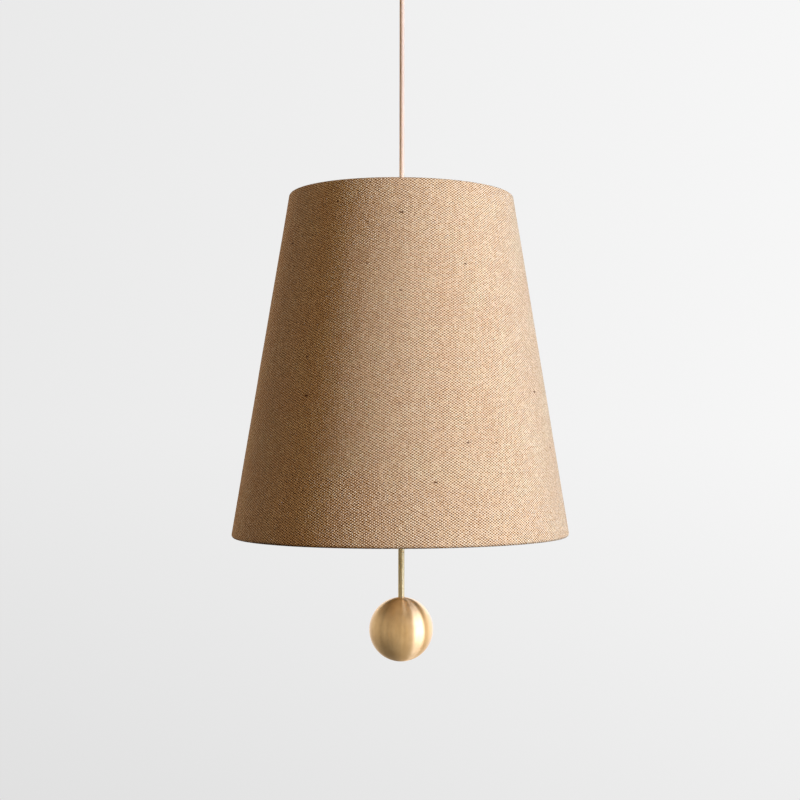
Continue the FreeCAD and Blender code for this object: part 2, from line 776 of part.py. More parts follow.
def lamp_cup():
    return turned([
        (thread_hole, cup_start),
        (cup_radius, cup_start),
        (cup_radius, cup_end),
        (cup_inner_radius, cup_end),
        (cup_inner_radius, cup_floor),
        (thread_hole, cup_floor),
    ])


def lampholder():
    """Ceramic holder with a recess round the nipple and a slot for each pin."""
    body = cylinder(holder_radius, cup_floor, holder_face)
    body = body.cut(cylinder(nut_corner + NUT_ROOM, cup_floor, holder_back))
    for side in (-1, 1):
        y = side * PIN_SPACING / 2
        low = V(-slot_half_width, y - slot_half_length, holder_back - OVERRUN)
        high = V(slot_half_width, y + slot_half_length, holder_face + OVERRUN)
        body = body.cut(block(low, high))
    return body


def holder_contacts():
    """Leaf contacts against one side of each slot."""
    contacts = []
    for side in (-1, 1):
        y = side * PIN_SPACING / 2
        low = V(slot_half_width - CONTACT_THICKNESS, y - CONTACT_WIDTH / 2, holder_back)
        high = V(slot_half_width, y + CONTACT_WIDTH / 2, holder_face - CONTACT_SINK)
        contacts += at_each_lamp(block(low, high))
    return contacts


def retaining_rings():
    """Rings screwed into the cups' mouths over the holders."""
    bore = retainer_radius - RETAINER_WIDTH
    return at_each_lamp(tube(retainer_radius, bore, holder_face, holder_face + RETAINER_THICKNESS))


def stem_lead(core):
    """One core of the cord, down the stem to the connector."""
    angle = math.radians(core * 120)
    top = V(lead_circle * math.cos(angle), lead_circle * math.sin(angle), cord_end_z - LEAD_END_GAP)
    return bar(V(top.x, top.y, connector_top_z + LEAD_END_GAP), top, lead_radius)


def holder_leads(side):
    """The leads on one side of the lamps, from the connector through the nipples to the contacts."""
    pair_y = side * LEAD_PAIR_SPACING / 2
    pin_y = side * PIN_SPACING / 2
    points = [
        V(0, pair_y, LEAD_START),
        V(0, pair_y, nipple_end),
        V(0, pin_y, holder_back - LEAD_END_RUN),
        V(0, pin_y, holder_back - LEAD_END_GAP),
    ]
    return at_each_lamp(lead_along(points))


# Bulbs, made along +Z and then placed

def bulb_base():
    spigot_radius = bulb_inner_radius - BULB_SPIGOT_GAP
    return turned([
        (0, bulb_start),
        (BULB_BASE_DIAMETER / 2, bulb_start),
        (BULB_BASE_DIAMETER / 2, bulb_flange_start),
        (bulb_radius, bulb_flange_start),
        (bulb_radius, bulb_shoulder),
        (spigot_radius, bulb_shoulder),
        (spigot_radius, bulb_spigot_end),
        (0, bulb_spigot_end),
    ])


def bulb_pins():
    """Two looped wire pins under the base."""
    loop_radius = (PIN_LOOP_WIDTH - PIN_WIRE) / 2
    turn_z = bulb_start - PIN_LENGTH + PIN_WIRE / 2 + loop_radius
    pins = []
    for side in (-1, 1):
        y = side * PIN_SPACING / 2
        leg_starts = [V(0, y - loop_radius, bulb_start), V(0, y + loop_radius, bulb_start)]
        leg_ends = [V(0, y - loop_radius, turn_z), V(0, y + loop_radius, turn_z)]
        loop = Part.Arc(leg_ends[0], V(0, y, turn_z - loop_radius), leg_ends[1]).toShape()
        path = Part.Wire([line(leg_starts[0], leg_ends[0]), loop, line(leg_ends[1], leg_starts[1])])
        profile = Part.makeCircle(PIN_WIRE / 2, leg_starts[0], V(0, 0, -1))
        pins.append(path.makePipeShell([Part.Wire(profile)], True, False))
    return pins


def bulb_board():
    """Upright light board inside the envelope."""
    half = V(BOARD_THICKNESS / 2, BOARD_WIDTH / 2, 0)
    low = V(0, 0, bulb_spigot_end)
    return block(low - half, low + half + V(0, 0, BOARD_LENGTH))


def bulb_envelope():
    """Capsule shell over the base, with a round end."""
    quarter = math.pi / 2
    edges = [
        line(section_point(bulb_inner_radius, bulb_shoulder), section_point(bulb_radius, bulb_shoulder)),
        line(section_point(bulb_radius, bulb_shoulder), section_point(bulb_radius, bulb_dome)),
        round_section_arc(0, bulb_dome, bulb_radius, 0, quarter),
        line(section_point(0, bulb_dome + bulb_radius), section_point(0, bulb_dome + bulb_inner_radius)),
        round_section_arc(0, bulb_dome, bulb_inner_radius, quarter, -quarter),
        line(section_point(bulb_inner_radius, bulb_dome), section_point(bulb_inner_radius, bulb_shoulder)),
    ]
    return turned_edges(edges)


# Rod and ball

def hanger_rod():
    """Brass rod with a shouldered thread at each end."""
    thread_top_z = hub_z - hub_inner_flat + ROD_NUT_THICKNESS + THREAD_END
    return turned([
        (0, insert_bottom_z),
        (rod_thread_radius, insert_bottom_z),
        (rod_thread_radius, rod_bottom_z),
        (rod_radius, rod_bottom_z),
        (rod_radius, rod_top_z),
        (rod_thread_radius, rod_top_z),
        (rod_thread_radius, thread_top_z),
        (0, thread_top_z),
    ])


def rod_nut():
    low = hub_z - hub_inner_flat
    high = low + ROD_NUT_THICKNESS
    return hexagon(rod_nut_across, low, high).cut(cylinder(rod_thread_hole, low, high))


def ball_shell():
    """Hollow ball with a small flat where the rod's shoulder sits."""
    centre = V(0, 0, ball_z)
    shell = Part.makeSphere(ball_radius, centre).cut(Part.makeSphere(ball_inner_radius, centre))
    shell = shell.cut(cylinder(ball_radius / 2, rod_bottom_z, rod_bottom_z + ball_radius))
    return shell.cut(cylinder(rod_thread_hole, ball_z, rod_bottom_z + OVERRUN))


def ball_insert():
    """Threaded boss inside the top of the ball."""
    boss = tube(rod_thread_hole + INSERT_WALL, rod_thread_hole, insert_bottom_z, rod_bottom_z)
    return boss.common(Part.makeSphere(ball_inner_radius, V(0, 0, ball_z)))


# Output

def all_pieces():
    """Every node's name with its shape or list of shapes."""
    pieces = {
        "mounting_strap": mounting_strap(),
        "canopy_cup": canopy_cup(),
        "canopy_screws": canopy_screws(),
        "terminal_block": terminal_block(),
        "terminal_screws": terminal_screws(),
        "terminal_fixing_screw": terminal_fixing_screw(),
        "cord_bush": cord_bush(),
        "bush_nut": bush_nut(),
        "cord_stop": cord_stop(),
        "stop_screw": stop_screw(),
        "cord_tail": cord_tail(),
        "ceiling_lead_live": ceiling_lead(0),
        "ceiling_lead_earth": ceiling_lead(1),
        "ceiling_lead_neutral": ceiling_lead(2),
        "cord_bend": cord_bend(),
        "suspension_cord": suspension_cord(),
        "cord_grip": cord_grip(),
        "grip_screw": grip_screw(),
        "stem_tube": stem_tube(),
        "stem_nuts": stem_nuts(),
        "top_ring": top_ring(),
        "spider": spider(),
        "bottom_ring": bottom_ring(),
        "shade_fabric": shade_fabric(),
        "shade_liner": shade_liner(),
        "hub_upper": hub_upper(),
        "hub_lower": hub_lower(),
        "hub_connector": hub_connector(),
        "lamp_leads_live": [stem_lead(0)] + holder_leads(-1),
        "lamp_lead_earth": stem_lead(1),
        "lamp_leads_neutral": [stem_lead(2)] + holder_leads(1),
        "nipples": nipples(),
        "nipple_nuts": nipple_nuts(),
        "arm_collars": arm_collars(),
        "holder_contacts": holder_contacts(),
        "retaining_rings": retaining_rings(),
        "hanger_rod": hanger_rod(),
        "rod_nut": rod_nut(),
        "ball_shell": ball_shell(),
        "ball_insert": ball_insert(),
    }
    repeated = {
        "lamp_cup": lamp_cup(),
        "lampholder": lampholder(),
        "bulb_base": bulb_base(),
        "bulb_pins": bulb_pins(),
        "bulb_board": bulb_board(),
        "bulb_envelope": bulb_envelope(),
    }
    for name, shape in repeated.items():
        shapes = shape if isinstance(shape, list) else [shape]
        for index in range(LAMP_COUNT):
            pieces[f"{name}_{index + 1}"] = [lamp_place(each, index) for each in shapes]
    return pieces


def write_pieces():
    os.makedirs("parts", exist_ok=True)
    for name, shape in all_pieces().items():
        shapes = shape if isinstance(shape, list) else [shape]
        solids = [solid for each in shapes for solid in each.Solids]
        whole = solids[0] if len(solids) == 1 else Part.makeCompound(solids)
        whole.exportStep(f"parts/{name}.step")
        print(f"{name}: {len(solids)} solid, {whole.Volume / 1000:.3f} cm3, valid {whole.isValid()}")


write_pieces()
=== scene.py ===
"""Looks of a conical pendant light, laid out as a Blender add-on and run as a script.

A woven cone shade hangs on a taut textile cord under a spun brass canopy, and a rod carries a satin brass
ball below the shade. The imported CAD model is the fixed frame. Sizes are metres, +Z is up and the ceiling is
at zero.
"""

import json
import math

import bmesh
import bpy
from bpy.props import FloatProperty, FloatVectorProperty, IntProperty, PointerProperty
from mathutils import Matrix, Vector


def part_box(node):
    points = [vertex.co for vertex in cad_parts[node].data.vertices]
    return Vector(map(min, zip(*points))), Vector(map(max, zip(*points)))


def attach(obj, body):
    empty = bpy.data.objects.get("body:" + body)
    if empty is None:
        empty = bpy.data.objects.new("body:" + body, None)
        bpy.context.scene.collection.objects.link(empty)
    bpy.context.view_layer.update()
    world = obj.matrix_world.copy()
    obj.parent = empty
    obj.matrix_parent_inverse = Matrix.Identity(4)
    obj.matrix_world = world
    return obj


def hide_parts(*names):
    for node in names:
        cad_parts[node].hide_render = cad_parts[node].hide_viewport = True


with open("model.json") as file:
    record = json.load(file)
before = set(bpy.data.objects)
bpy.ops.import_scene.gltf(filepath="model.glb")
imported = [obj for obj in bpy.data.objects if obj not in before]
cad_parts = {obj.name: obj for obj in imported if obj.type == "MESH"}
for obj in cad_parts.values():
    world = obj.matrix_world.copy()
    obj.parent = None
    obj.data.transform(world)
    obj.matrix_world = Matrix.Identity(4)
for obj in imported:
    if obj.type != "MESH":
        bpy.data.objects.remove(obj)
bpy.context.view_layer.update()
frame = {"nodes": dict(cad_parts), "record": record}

bl_info = {
    "name": "Conical pendant light",
    "version": (1, 0, 0),
    "blender": (4, 5, 0),
    "location": "View3D > Sidebar > Pendant",
    "description": "Makes the woven shade, the cord, the brass ball and the fittings of a pendant light",
    "category": "Object",
}

# Turns about +Z, from +X
FRONT = math.radians(270)
BACK = math.radians(90)
# Lamps lean out from straight down by the splay, each to its own side in degrees
LAMP_SPLAY = math.radians(50)
LAMP_AZIMUTHS = (270, 30, 150)
# Points nearer than this are one: where a turned skin closes, and in a whole mesh
SKIN_WELD = 0.00001
MESH_WELD = 0.000001
# Brass nodes away from the light's axis
SMALL_BRASS = ("lamp_cup_1", "lamp_cup_2", "lamp_cup_3", "arm_collars", "retaining_rings", "nipples",
               "canopy_screws")

# Node kinds that are used most
MATH = "ShaderNodeMath"
VECTOR_MATH = "ShaderNodeVectorMath"
MAP_RANGE = "ShaderNodeMapRange"
MIX = "ShaderNodeMix"
NOISE = "ShaderNodeTexNoise"
COMBINE = "ShaderNodeCombineXYZ"
SEPARATE = "ShaderNodeSeparateXYZ"
PLACE = "ShaderNodeTexCoord"
BUMP = "ShaderNodeBump"


def linear(hex_colour):
    """Linear red, green, blue and alpha from an sRGB hex value."""
    channels = [int(hex_colour[start:start + 2], 16) / 255 for start in (1, 3, 5)]
    return [c / 12.92 if c <= 0.04045 else ((c + 0.055) / 1.055) ** 2.4 for c in channels] + [1.0]


def length_property(name, description, default):
    return FloatProperty(name=name, description=description, default=default, unit="LENGTH")


def colour_property(name, description, hex_colour):
    return FloatVectorProperty(
        name=name, description=description, default=linear(hex_colour)[:3], subtype="COLOR", size=3)


class PendantSizes(bpy.types.PropertyGroup):
    """Sizes that the looks use beside the frame's own boxes."""

    shade_top: length_property("Shade top", "Diameter of the shade's top edge", 0.200)
    shade_bottom: length_property("Shade bottom", "Diameter of the shade's bottom edge", 0.300)
    cloth: length_property("Cloth", "Thickness of the woven cloth", 0.0009)
    ring_wire: length_property("Ring wire", "Diameter of the wire in the hems", 0.003)
    glue_gap: length_property("Glue gap", "Room for glue between cloth and wire", 0.00015)
    hem_wrap: FloatProperty(
        name="Hem wrap", description="How far the cloth rolls round the wire", default=math.radians(255),
        unit="ROTATION")
    hem_ripple: length_property("Ripple", "How far the cloth strays from a true cone", 0.00018)
    seam_width: length_property("Seam width", "Width of the lap seam at the back", 0.010)
    seam_raise: length_property("Seam raise", "Height of the lap seam above the cloth", 0.0005)
    warp_spacing: length_property("Warp spacing", "Distance between upright threads", 0.00156)
    weft_spacing: length_property("Weft spacing", "Distance between cross threads", 0.00108)
    skew: FloatProperty(
        name="Skew", description="How far the cross threads lean from level", default=math.radians(5),
        unit="ROTATION")
    cord: length_property("Cord", "Diameter of the textile cord", 0.0045)
    cord_yarns: IntProperty(
        name="Yarns", description="Yarns that run each way round the cord's sleeve", default=8)
    rod: length_property("Rod", "Diameter of the hanger rod", 0.0055)
    ball: length_property("Ball", "Diameter of the brass ball", 0.057)
    canopy_wall: length_property("Canopy wall", "Thickness of the canopy's sheet", 0.0012)
    canopy_edge: length_property("Canopy edge", "Radius of the canopy's lower edge", 0.005)
    thread_pitch: length_property("Thread pitch", "Rise of the stem's thread in one turn", 0.001)
    thread_bore: length_property("Thread bore", "Bore of the threaded stem", 0.0076)
    cup_wall: length_property("Cup wall", "Thickness of a lamp cup's wall", 0.001)
    bulb_glass: length_property("Bulb glass", "Thickness of a bulb's envelope", 0.001)
    ease: length_property("Ease", "Radius that takes the sharpness off metal edges", 0.0003)


class PendantColours(bpy.types.PropertyGroup):
    """Colours of the finishes and of the stage."""

    thread: colour_property("Thread", "Straw threads of the shade's cloth", "#f4edd6")
    thread_rose: colour_property("Rose thread", "Rosier threads of the shade's cloth", "#f8ead9")
    thread_dark: colour_property("Dark thread", "Browner threads of the shade's cloth", "#dfcaab")
    # Painted shade: the gap colour stands in for the shadow that falls between the threads
    painted_gap_shade: colour_property("Thread gap", "Shade between the threads", "#7b5734")
    fleck: colour_property("Fleck", "Bits of husk in the cloth", "#55361c")
    cord: colour_property("Cord", "Pale yarn of the cord's sleeve", "#eae0da")
    # The deeper yarn colour also serves as painted shade where the yarns sink under their crossings
    cord_dark_and_shade: colour_property("Cord shade", "Deeper yarn of the cord's sleeve", "#cdc1bb")
    brass: colour_property("Brass", "Satin brass", "#e0ba84")
    brass_dark: colour_property("Brass tarnish", "Brass where it has dulled", "#c2965e")
    rod: colour_property("Rod", "Drawn brass of the rod", "#ecd8a6")
    rod_dark: colour_property("Rod tarnish", "Drawn brass where it has dulled", "#d2ba7c")
    backdrop: colour_property("Backdrop", "Pale ground behind the light", "#f0f0f0")
    daylight: colour_property("Daylight", "Cool light that metal mirrors", "#b8cbff")
    fill: colour_property("Fill", "Warm light that the room gives back", "#ffc098")


def sizes():
    return bpy.context.scene.pendant_sizes


def colours():
    return bpy.context.scene.pendant_colours


def opaque(colour):
    """Colour property as four numbers."""
    return [*colour, 1.0]


def set_inputs(tree, node, inputs):
    """Set or link a node's inputs by number or name. A node given as a value stands for its first output."""
    for socket, value in inputs.items():
        if isinstance(value, bpy.types.Node):
            value = next(output for output in value.outputs if output.enabled)
        if isinstance(value, bpy.types.NodeSocket):
            tree.links.new(value, node.inputs[socket])
        else:
            node.inputs[socket].default_value = value


def add(tree, kind, inputs=None, operation=None, **settings):
    """Add a node with its settings and links."""
    node = tree.nodes.new(kind)
    if operation:
        node.operation = operation
    for name, value in settings.items():
        setattr(node, name, value)
    set_inputs(tree, node, inputs or {})
    return node


def over_under(tree, counters):
    """Plain weave from two thread counters: height, which thread is on top, and the threads' numbers."""
    lobes = []
    numbers = []
    for counter in counters:
        turn = add(tree, MATH, {0: counter, 1: math.pi}, "MULTIPLY")
        wave = add(tree, MATH, {0: turn}, "SINE")
        lobes.append(add(tree, MATH, {0: wave}, "ABSOLUTE"))
        numbers.append(add(tree, MATH, {0: counter}, "FLOOR"))
    heights = []
    for own, other, share in ((0, 1, 0.5), (1, 0, -0.5)):
        phase = add(tree, MATH, {0: counters[other], 1: numbers[own]}, "ADD")
        turn = add(tree, MATH, {0: phase, 1: math.pi, 2: -math.pi / 2}, "MULTIPLY_ADD")
        swing = add(tree, MATH, {0: turn}, "COSINE")
        lift = add(tree, MATH, {0: swing, 1: share, 2: 0.5}, "MULTIPLY_ADD")
        heights.append(add(tree, MATH, {0: lift, 1: lobes[own]}, "MULTIPLY"))
    top = add(tree, MATH, {0: heights[0], 1: heights[1]}, "MAXIMUM")
    first_on_top = add(tree, MATH, {0: heights[0], 1: heights[1]}, "GREATER_THAN")
    return top, first_on_top, numbers


# Finishes

def new_finish(name):
    """New material with its node tree and its surface shader."""
    material = bpy.data.materials.new(name)
    material.use_nodes = True
    return material, material.node_tree, material.node_tree.nodes["Principled BSDF"]


def woven_cloth():
    """Undyed jute and linen, loosely woven: pale threads, painted brown shade in the gaps, slubs and husk
    flecks.
    """
    material, tree, surface = new_finish("undyed_jute_linen_weave")
    place = add(tree, "ShaderNodeUVMap", uv_map="UVMap")
    around, along, _ = add(tree, SEPARATE, {0: place}).outputs
    # The cloth's flat cut: the cone opens into a sector whose middle is at the front
    opening = math.sin(shade_slope())
    turn = add(tree, MATH, {0: around, 1: opening, 2: -FRONT * opening}, "MULTIPLY_ADD")
    flat = []
    for operation in ("SINE", "COSINE"):
        share = add(tree, MATH, {0: turn}, operation)
        flat.append(add(tree, MATH, {0: share, 1: along}, "MULTIPLY"))
    # Threads stray by about half their spacing over a few centimetres, and by less over some millimetres
    spot = add(tree, COMBINE, {0: flat[0], 1: flat[1]})
    stray = add(tree, NOISE, {"Vector": spot, "Scale": 30.0, "Detail": 5.0, "Roughness": 0.7},
                noise_dimensions="2D")
    sway = add(tree, "ShaderNodeSeparateColor", {0: stray.outputs["Color"]})
    # Cross threads lean, as they do in cloth that was pulled a little out of square
    lean = add(tree, MATH, {0: flat[0], 1: math.tan(sizes().skew), 2: flat[1]}, "MULTIPLY_ADD")
    counters = []
    for axis, across, spacing in ((0, flat[0], sizes().warp_spacing), (1, lean, sizes().weft_spacing)):
        count = add(tree, MATH, {0: across, 1: 1 / spacing}, "MULTIPLY")
        counters.append(add(tree, MATH, {0: sway.outputs[axis], 1: 1.5, 2: count}, "MULTIPLY_ADD"))
    # The warp is the thicker yarn: its crossings stand up, and the weft's lie low between them
    waves = []
    numbers = []
    for counter in counters:
        half_turn = add(tree, MATH, {0: counter, 1: math.pi}, "MULTIPLY")
        waves.append(add(tree, MATH, {0: half_turn}, "SINE"))
        numbers.append(add(tree, MATH, {0: counter}, "FLOOR"))
    crossing = add(tree, MATH, {0: waves[0], 1: waves[1]}, "MULTIPLY")
    warp_on_top = add(tree, MATH, {0: crossing, 1: 0.0}, "GREATER_THAN")
    # No two crossings are alike in hand-spun yarn: each has its own height and tone
    cell = add(tree, COMBINE, {0: numbers[0], 1: numbers[1]})
    chance = add(tree, "ShaderNodeTexWhiteNoise", {"Vector": cell}, noise_dimensions="2D")
    uneven = add(tree, MAP_RANGE, {0: chance, 3: 0.1, 4: 1.0})
    height = add(tree, MATH, {0: crossing, 1: uneven, 2: 0.5}, "MULTIPLY_ADD")
    # Each thread has its own tone, and slubs run along it for some millimetres
    tones = []
    for own, stretch in ((0, (1.0, 0.08)), (1, (0.08, 1.0))):
        tone = add(tree, "ShaderNodeTexWhiteNoise", {"W": numbers[own]}, noise_dimensions="1D")
        drawn = [add(tree, MATH, {0: counters[axis], 1: stretch[axis]}, "MULTIPLY") for axis in (0, 1)]
        run = add(tree, COMBINE, {0: drawn[0], 1: drawn[1], 2: 7.0 * own})
        slub = add(tree, NOISE, {"Vector": run, "Scale": 1.0, "Detail": 1.0})
        tones.append(add(tree, MATH, {0: tone, 1: 0.2, 2: slub}, "MULTIPLY_ADD"))
    tone = add(tree, MIX, {0: warp_on_top, 2: tones[1], 3: tones[0]}, data_type="FLOAT")
    tone = add(tree, MATH, {0: chance, 1: 0.4, 2: tone}, "MULTIPLY_ADD")
    # Patches of some centimetres lean to straw, or to a deeper rose
    patch = add(tree, MAP_RANGE, {0: sway.outputs[2], 1: 0.35, 2: 0.65})
    pale = add(tree, MIX, {0: patch, 6: opaque(colours().thread), 7: opaque(colours().thread_rose)},
               data_type="RGBA")
    deeper = add(tree, MATH, {0: patch, 1: -0.25, 2: tone}, "MULTIPLY_ADD")
    depth = add(tree, MAP_RANGE, {0: deeper, 1: 0.2, 2: 1.1})
    thread = add(tree, MIX, {0: depth, 6: opaque(colours().thread_dark), 7: pale}, data_type="RGBA")
    # Painted shade: where the crossings lie low, the cloth takes the dark gap colour in place of the shadow
    # between threads
    gap_shade_mask = add(tree, MAP_RANGE, {0: height, 1: 0.2, 2: 0.7}, interpolation_type="SMOOTHSTEP")
    weave = add(tree, MIX, {0: gap_shade_mask, 6: opaque(colours().painted_gap_shade), 7: thread}, data_type="RGBA")
    # Husk flecks of one to three millimetres, one in some ten square centimetres
    longer = add(tree, VECTOR_MATH, {0: spot, 1: (0.6, 1.3, 1.0)}, "MULTIPLY")
    cells = add(tree, "ShaderNodeTexVoronoi", {"Vector": longer, "Scale": 60.0}, voronoi_dimensions="2D")
    rare = add(tree, "ShaderNodeSeparateColor", {0: cells.outputs["Color"]})
    picked = add(tree, MAP_RANGE, {0: rare, 1: 0.92, 2: 1.0, 3: 0.0, 4: 0.09})
    inside = add(tree, MATH, {0: picked, 1: cells.outputs["Distance"]}, "SUBTRACT")
    near = add(tree, MAP_RANGE, {0: inside, 1: 0.0, 2: 0.03, 4: 0.9})
    tint = add(tree, MIX, {0: near, 6: weave, 7: opaque(colours().fleck)}, data_type="RGBA")
    relief = add(tree, MATH, {0: tone, 1: 0.15, 2: height}, "MULTIPLY_ADD")
    bump = add(tree, BUMP, {"Strength": 1.0, "Distance": 0.0004, "Height": relief})
    set_inputs(tree, surface, {"Base Color": tint, "Normal": bump, "Roughness": 0.9,
                               "Specular IOR Level": 0.1, "Sheen Weight": 0.05, "Sheen Roughness": 0.5})
    return material


def braided_sleeve_finish():
    """Braided cotton sleeve: two tones of rose beige yarn crossing, painted shade where the yarns sink, matt,
    with a little fuzz at the edges.
    """
    material, tree, surface = new_finish("braided_cotton_sleeve")
    place = add(tree, PLACE).outputs["Object"]
    x, y, z = add(tree, SEPARATE, {0: place}).outputs
    angle = add(tree, MATH, {0: y, 1: x}, "ARCTAN2")
    around = add(tree, MATH, {0: angle, 1: sizes().cord_yarns / (2 * math.pi)}, "MULTIPLY")
    along = add(tree, MATH, {0: z, 1: 1 / braid_pitch()}, "MULTIPLY")
    counters = [add(tree, MATH, {0: around, 1: along}, way) for way in ("ADD", "SUBTRACT")]
    height, first_on_top, numbers = over_under(tree, counters)
    yarn = add(tree, MIX, {0: first_on_top, 2: numbers[1], 3: numbers[0]}, data_type="FLOAT")
    own = add(tree, "ShaderNodeTexWhiteNoise", {"W": yarn}, noise_dimensions="1D")
    # Fibres are drawn a quarter of a millimetre thick, coarser than they are, so that they show
    fibres = add(tree, NOISE, {"Vector": place, "Scale": 4000.0})
    tone = add(tree, MATH, {0: own, 1: 0.5, 2: fibres}, "MULTIPLY_ADD")
    # Random yarn tone times the braid's height: painted shade where the yarns sink between crossings
    tone_and_sunk_shade = add(tree, MATH, {0: tone, 1: height}, "MULTIPLY")
    shade = add(tree, MAP_RANGE, {0: tone_and_sunk_shade, 1: 0.1, 2: 0.8})
    tint = add(tree, MIX, {0: shade, 6: opaque(colours().cord_dark_and_shade), 7: opaque(colours().cord)},
               data_type="RGBA")
    bump = add(tree, BUMP, {"Strength": 0.4, "Distance": 0.0001, "Height": fibres})
    set_inputs(tree, surface, {"Base Color": tint, "Normal": bump, "Roughness": 0.85,
                               "Specular IOR Level": 0.25, "Sheen Weight": 0.2, "Sheen Roughness": 0.4})
    return material


def turned_brass(name, bright, dulled, roughness, line):
    """Satin brass off a lathe: fine rings round the axis pull each highlight into a tall soft streak."""
    material, tree, surface = new_finish(name)
    place = add(tree, PLACE).outputs["Object"]
    x, y, z = add(tree, SEPARATE, {0: place}).outputs
    level = add(tree, COMBINE, {0: x, 1: y})
    radius = add(tree, VECTOR_MATH, {0: level}, "LENGTH")
    # Rings are drawn a few times as wide as a lathe leaves them, so that they show
    rings_at = add(tree, COMBINE, {0: radius.outputs["Value"], 1: z})
    rings = add(tree, NOISE, {"Vector": rings_at, "Scale": 1 / line, "Detail": 3.0}, noise_dimensions="2D")
    # Dull clouds of one or two centimetres
    clouds = add(tree, NOISE, {"Vector": place, "Scale": 60.0, "Detail": 4.0})
    dull = add(tree, MAP_RANGE, {0: clouds, 1: 0.3, 2: 1.0})
    tint = add(tree, MIX, {0: dull, 6: opaque(bright), 7: opaque(dulled)}, data_type="RGBA")
    rough = add(tree, MAP_RANGE, {0: rings, 3: roughness * 0.8, 4: roughness * 1.2})
    bump = add(tree, BUMP, {"Strength": 0.15, "Distance": line / 10, "Height": rings})
    tangent = add(tree, "ShaderNodeTangent", direction_type="RADIAL", axis="Z")
    set_inputs(tree, surface, {"Base Color": tint, "Roughness": rough, "Normal": bump, "Tangent": tangent,
                               "Metallic": 1.0, "Anisotropic": 1.0, "Anisotropic Rotation": 0.25})
    return material


def plain_metal(name, colour, dark, roughness, grain):
    """Rolled or plated metal: cloudy tone, fine grain and slightly uneven gloss."""
    material, tree, surface = new_finish(name)
    place = add(tree, PLACE).outputs["Object"]
    # Clouds of about five millimetres, and a grain that is drawn coarse enough to show
    clouds = add(tree, NOISE, {"Vector": place, "Scale": 180.0, "Detail": 5.0})
    fine = add(tree, NOISE, {"Vector": place, "Scale": 1 / grain, "Detail": 2.0})
    tint = add(tree, MIX, {0: clouds, 6: linear(dark), 7: linear(colour)}, data_type="RGBA")
    rough = add(tree, MAP_RANGE, {0: clouds, 3: roughness * 0.7, 4: roughness * 1.3})
    bump = add(tree, BUMP, {"Strength": 0.1, "Distance": grain / 5, "Height": fine})
    set_inputs(tree, surface, {"Base Color": tint, "Roughness": rough, "Normal": bump, "Metallic": 1.0})
    return material


def plain_coat(name, colour, dark, roughness, grain, relief, values=None):
    """Moulded, coated or fired surface: two close tones in soft patches and a fine skin."""
    material, tree, surface = new_finish(name)
    place = add(tree, PLACE).outputs["Object"]
    # Patches of about a centimetre, and a skin that is drawn coarse enough to show
    patches = add(tree, NOISE, {"Vector": place, "Scale": 90.0, "Detail": 4.0})
    fine = add(tree, NOISE, {"Vector": place, "Scale": 1 / grain, "Detail": 2.0})
    tint = add(tree, MIX, {0: patches, 6: linear(dark), 7: linear(colour)}, data_type="RGBA")
    rough = add(tree, MAP_RANGE, {0: fine, 3: roughness * 0.85, 4: roughness * 1.15})
    bump = add(tree, BUMP, {"Strength": 0.3, "Distance": relief, "Height": fine})
    set_inputs(tree, surface, {"Base Color": tint, "Roughness": rough, "Normal": bump, **(values or {})})
    return material


def earth_lead_finish():
    """PVC insulation of an earth core: green with a yellow stripe."""
    material, tree, surface = new_finish("green_yellow_pvc")
    place = add(tree, PLACE).outputs["Object"]
    # The stripe turns round the core every few millimetres
    stripe = add(tree, "ShaderNodeTexWave", {"Vector": place, "Scale": 110.0, "Distortion": 1.0},
                 bands_direction="DIAGONAL")
    side = add(tree, MATH, {0: stripe.outputs[1], 1: 0.6}, "GREATER_THAN")
    tint = add(tree, MIX, {0: side, 6: linear("#3f8a2c"), 7: linear("#e4c92f")}, data_type="RGBA")
    set_inputs(tree, surface, {"Base Color": tint, "Roughness": 0.4})
    return material


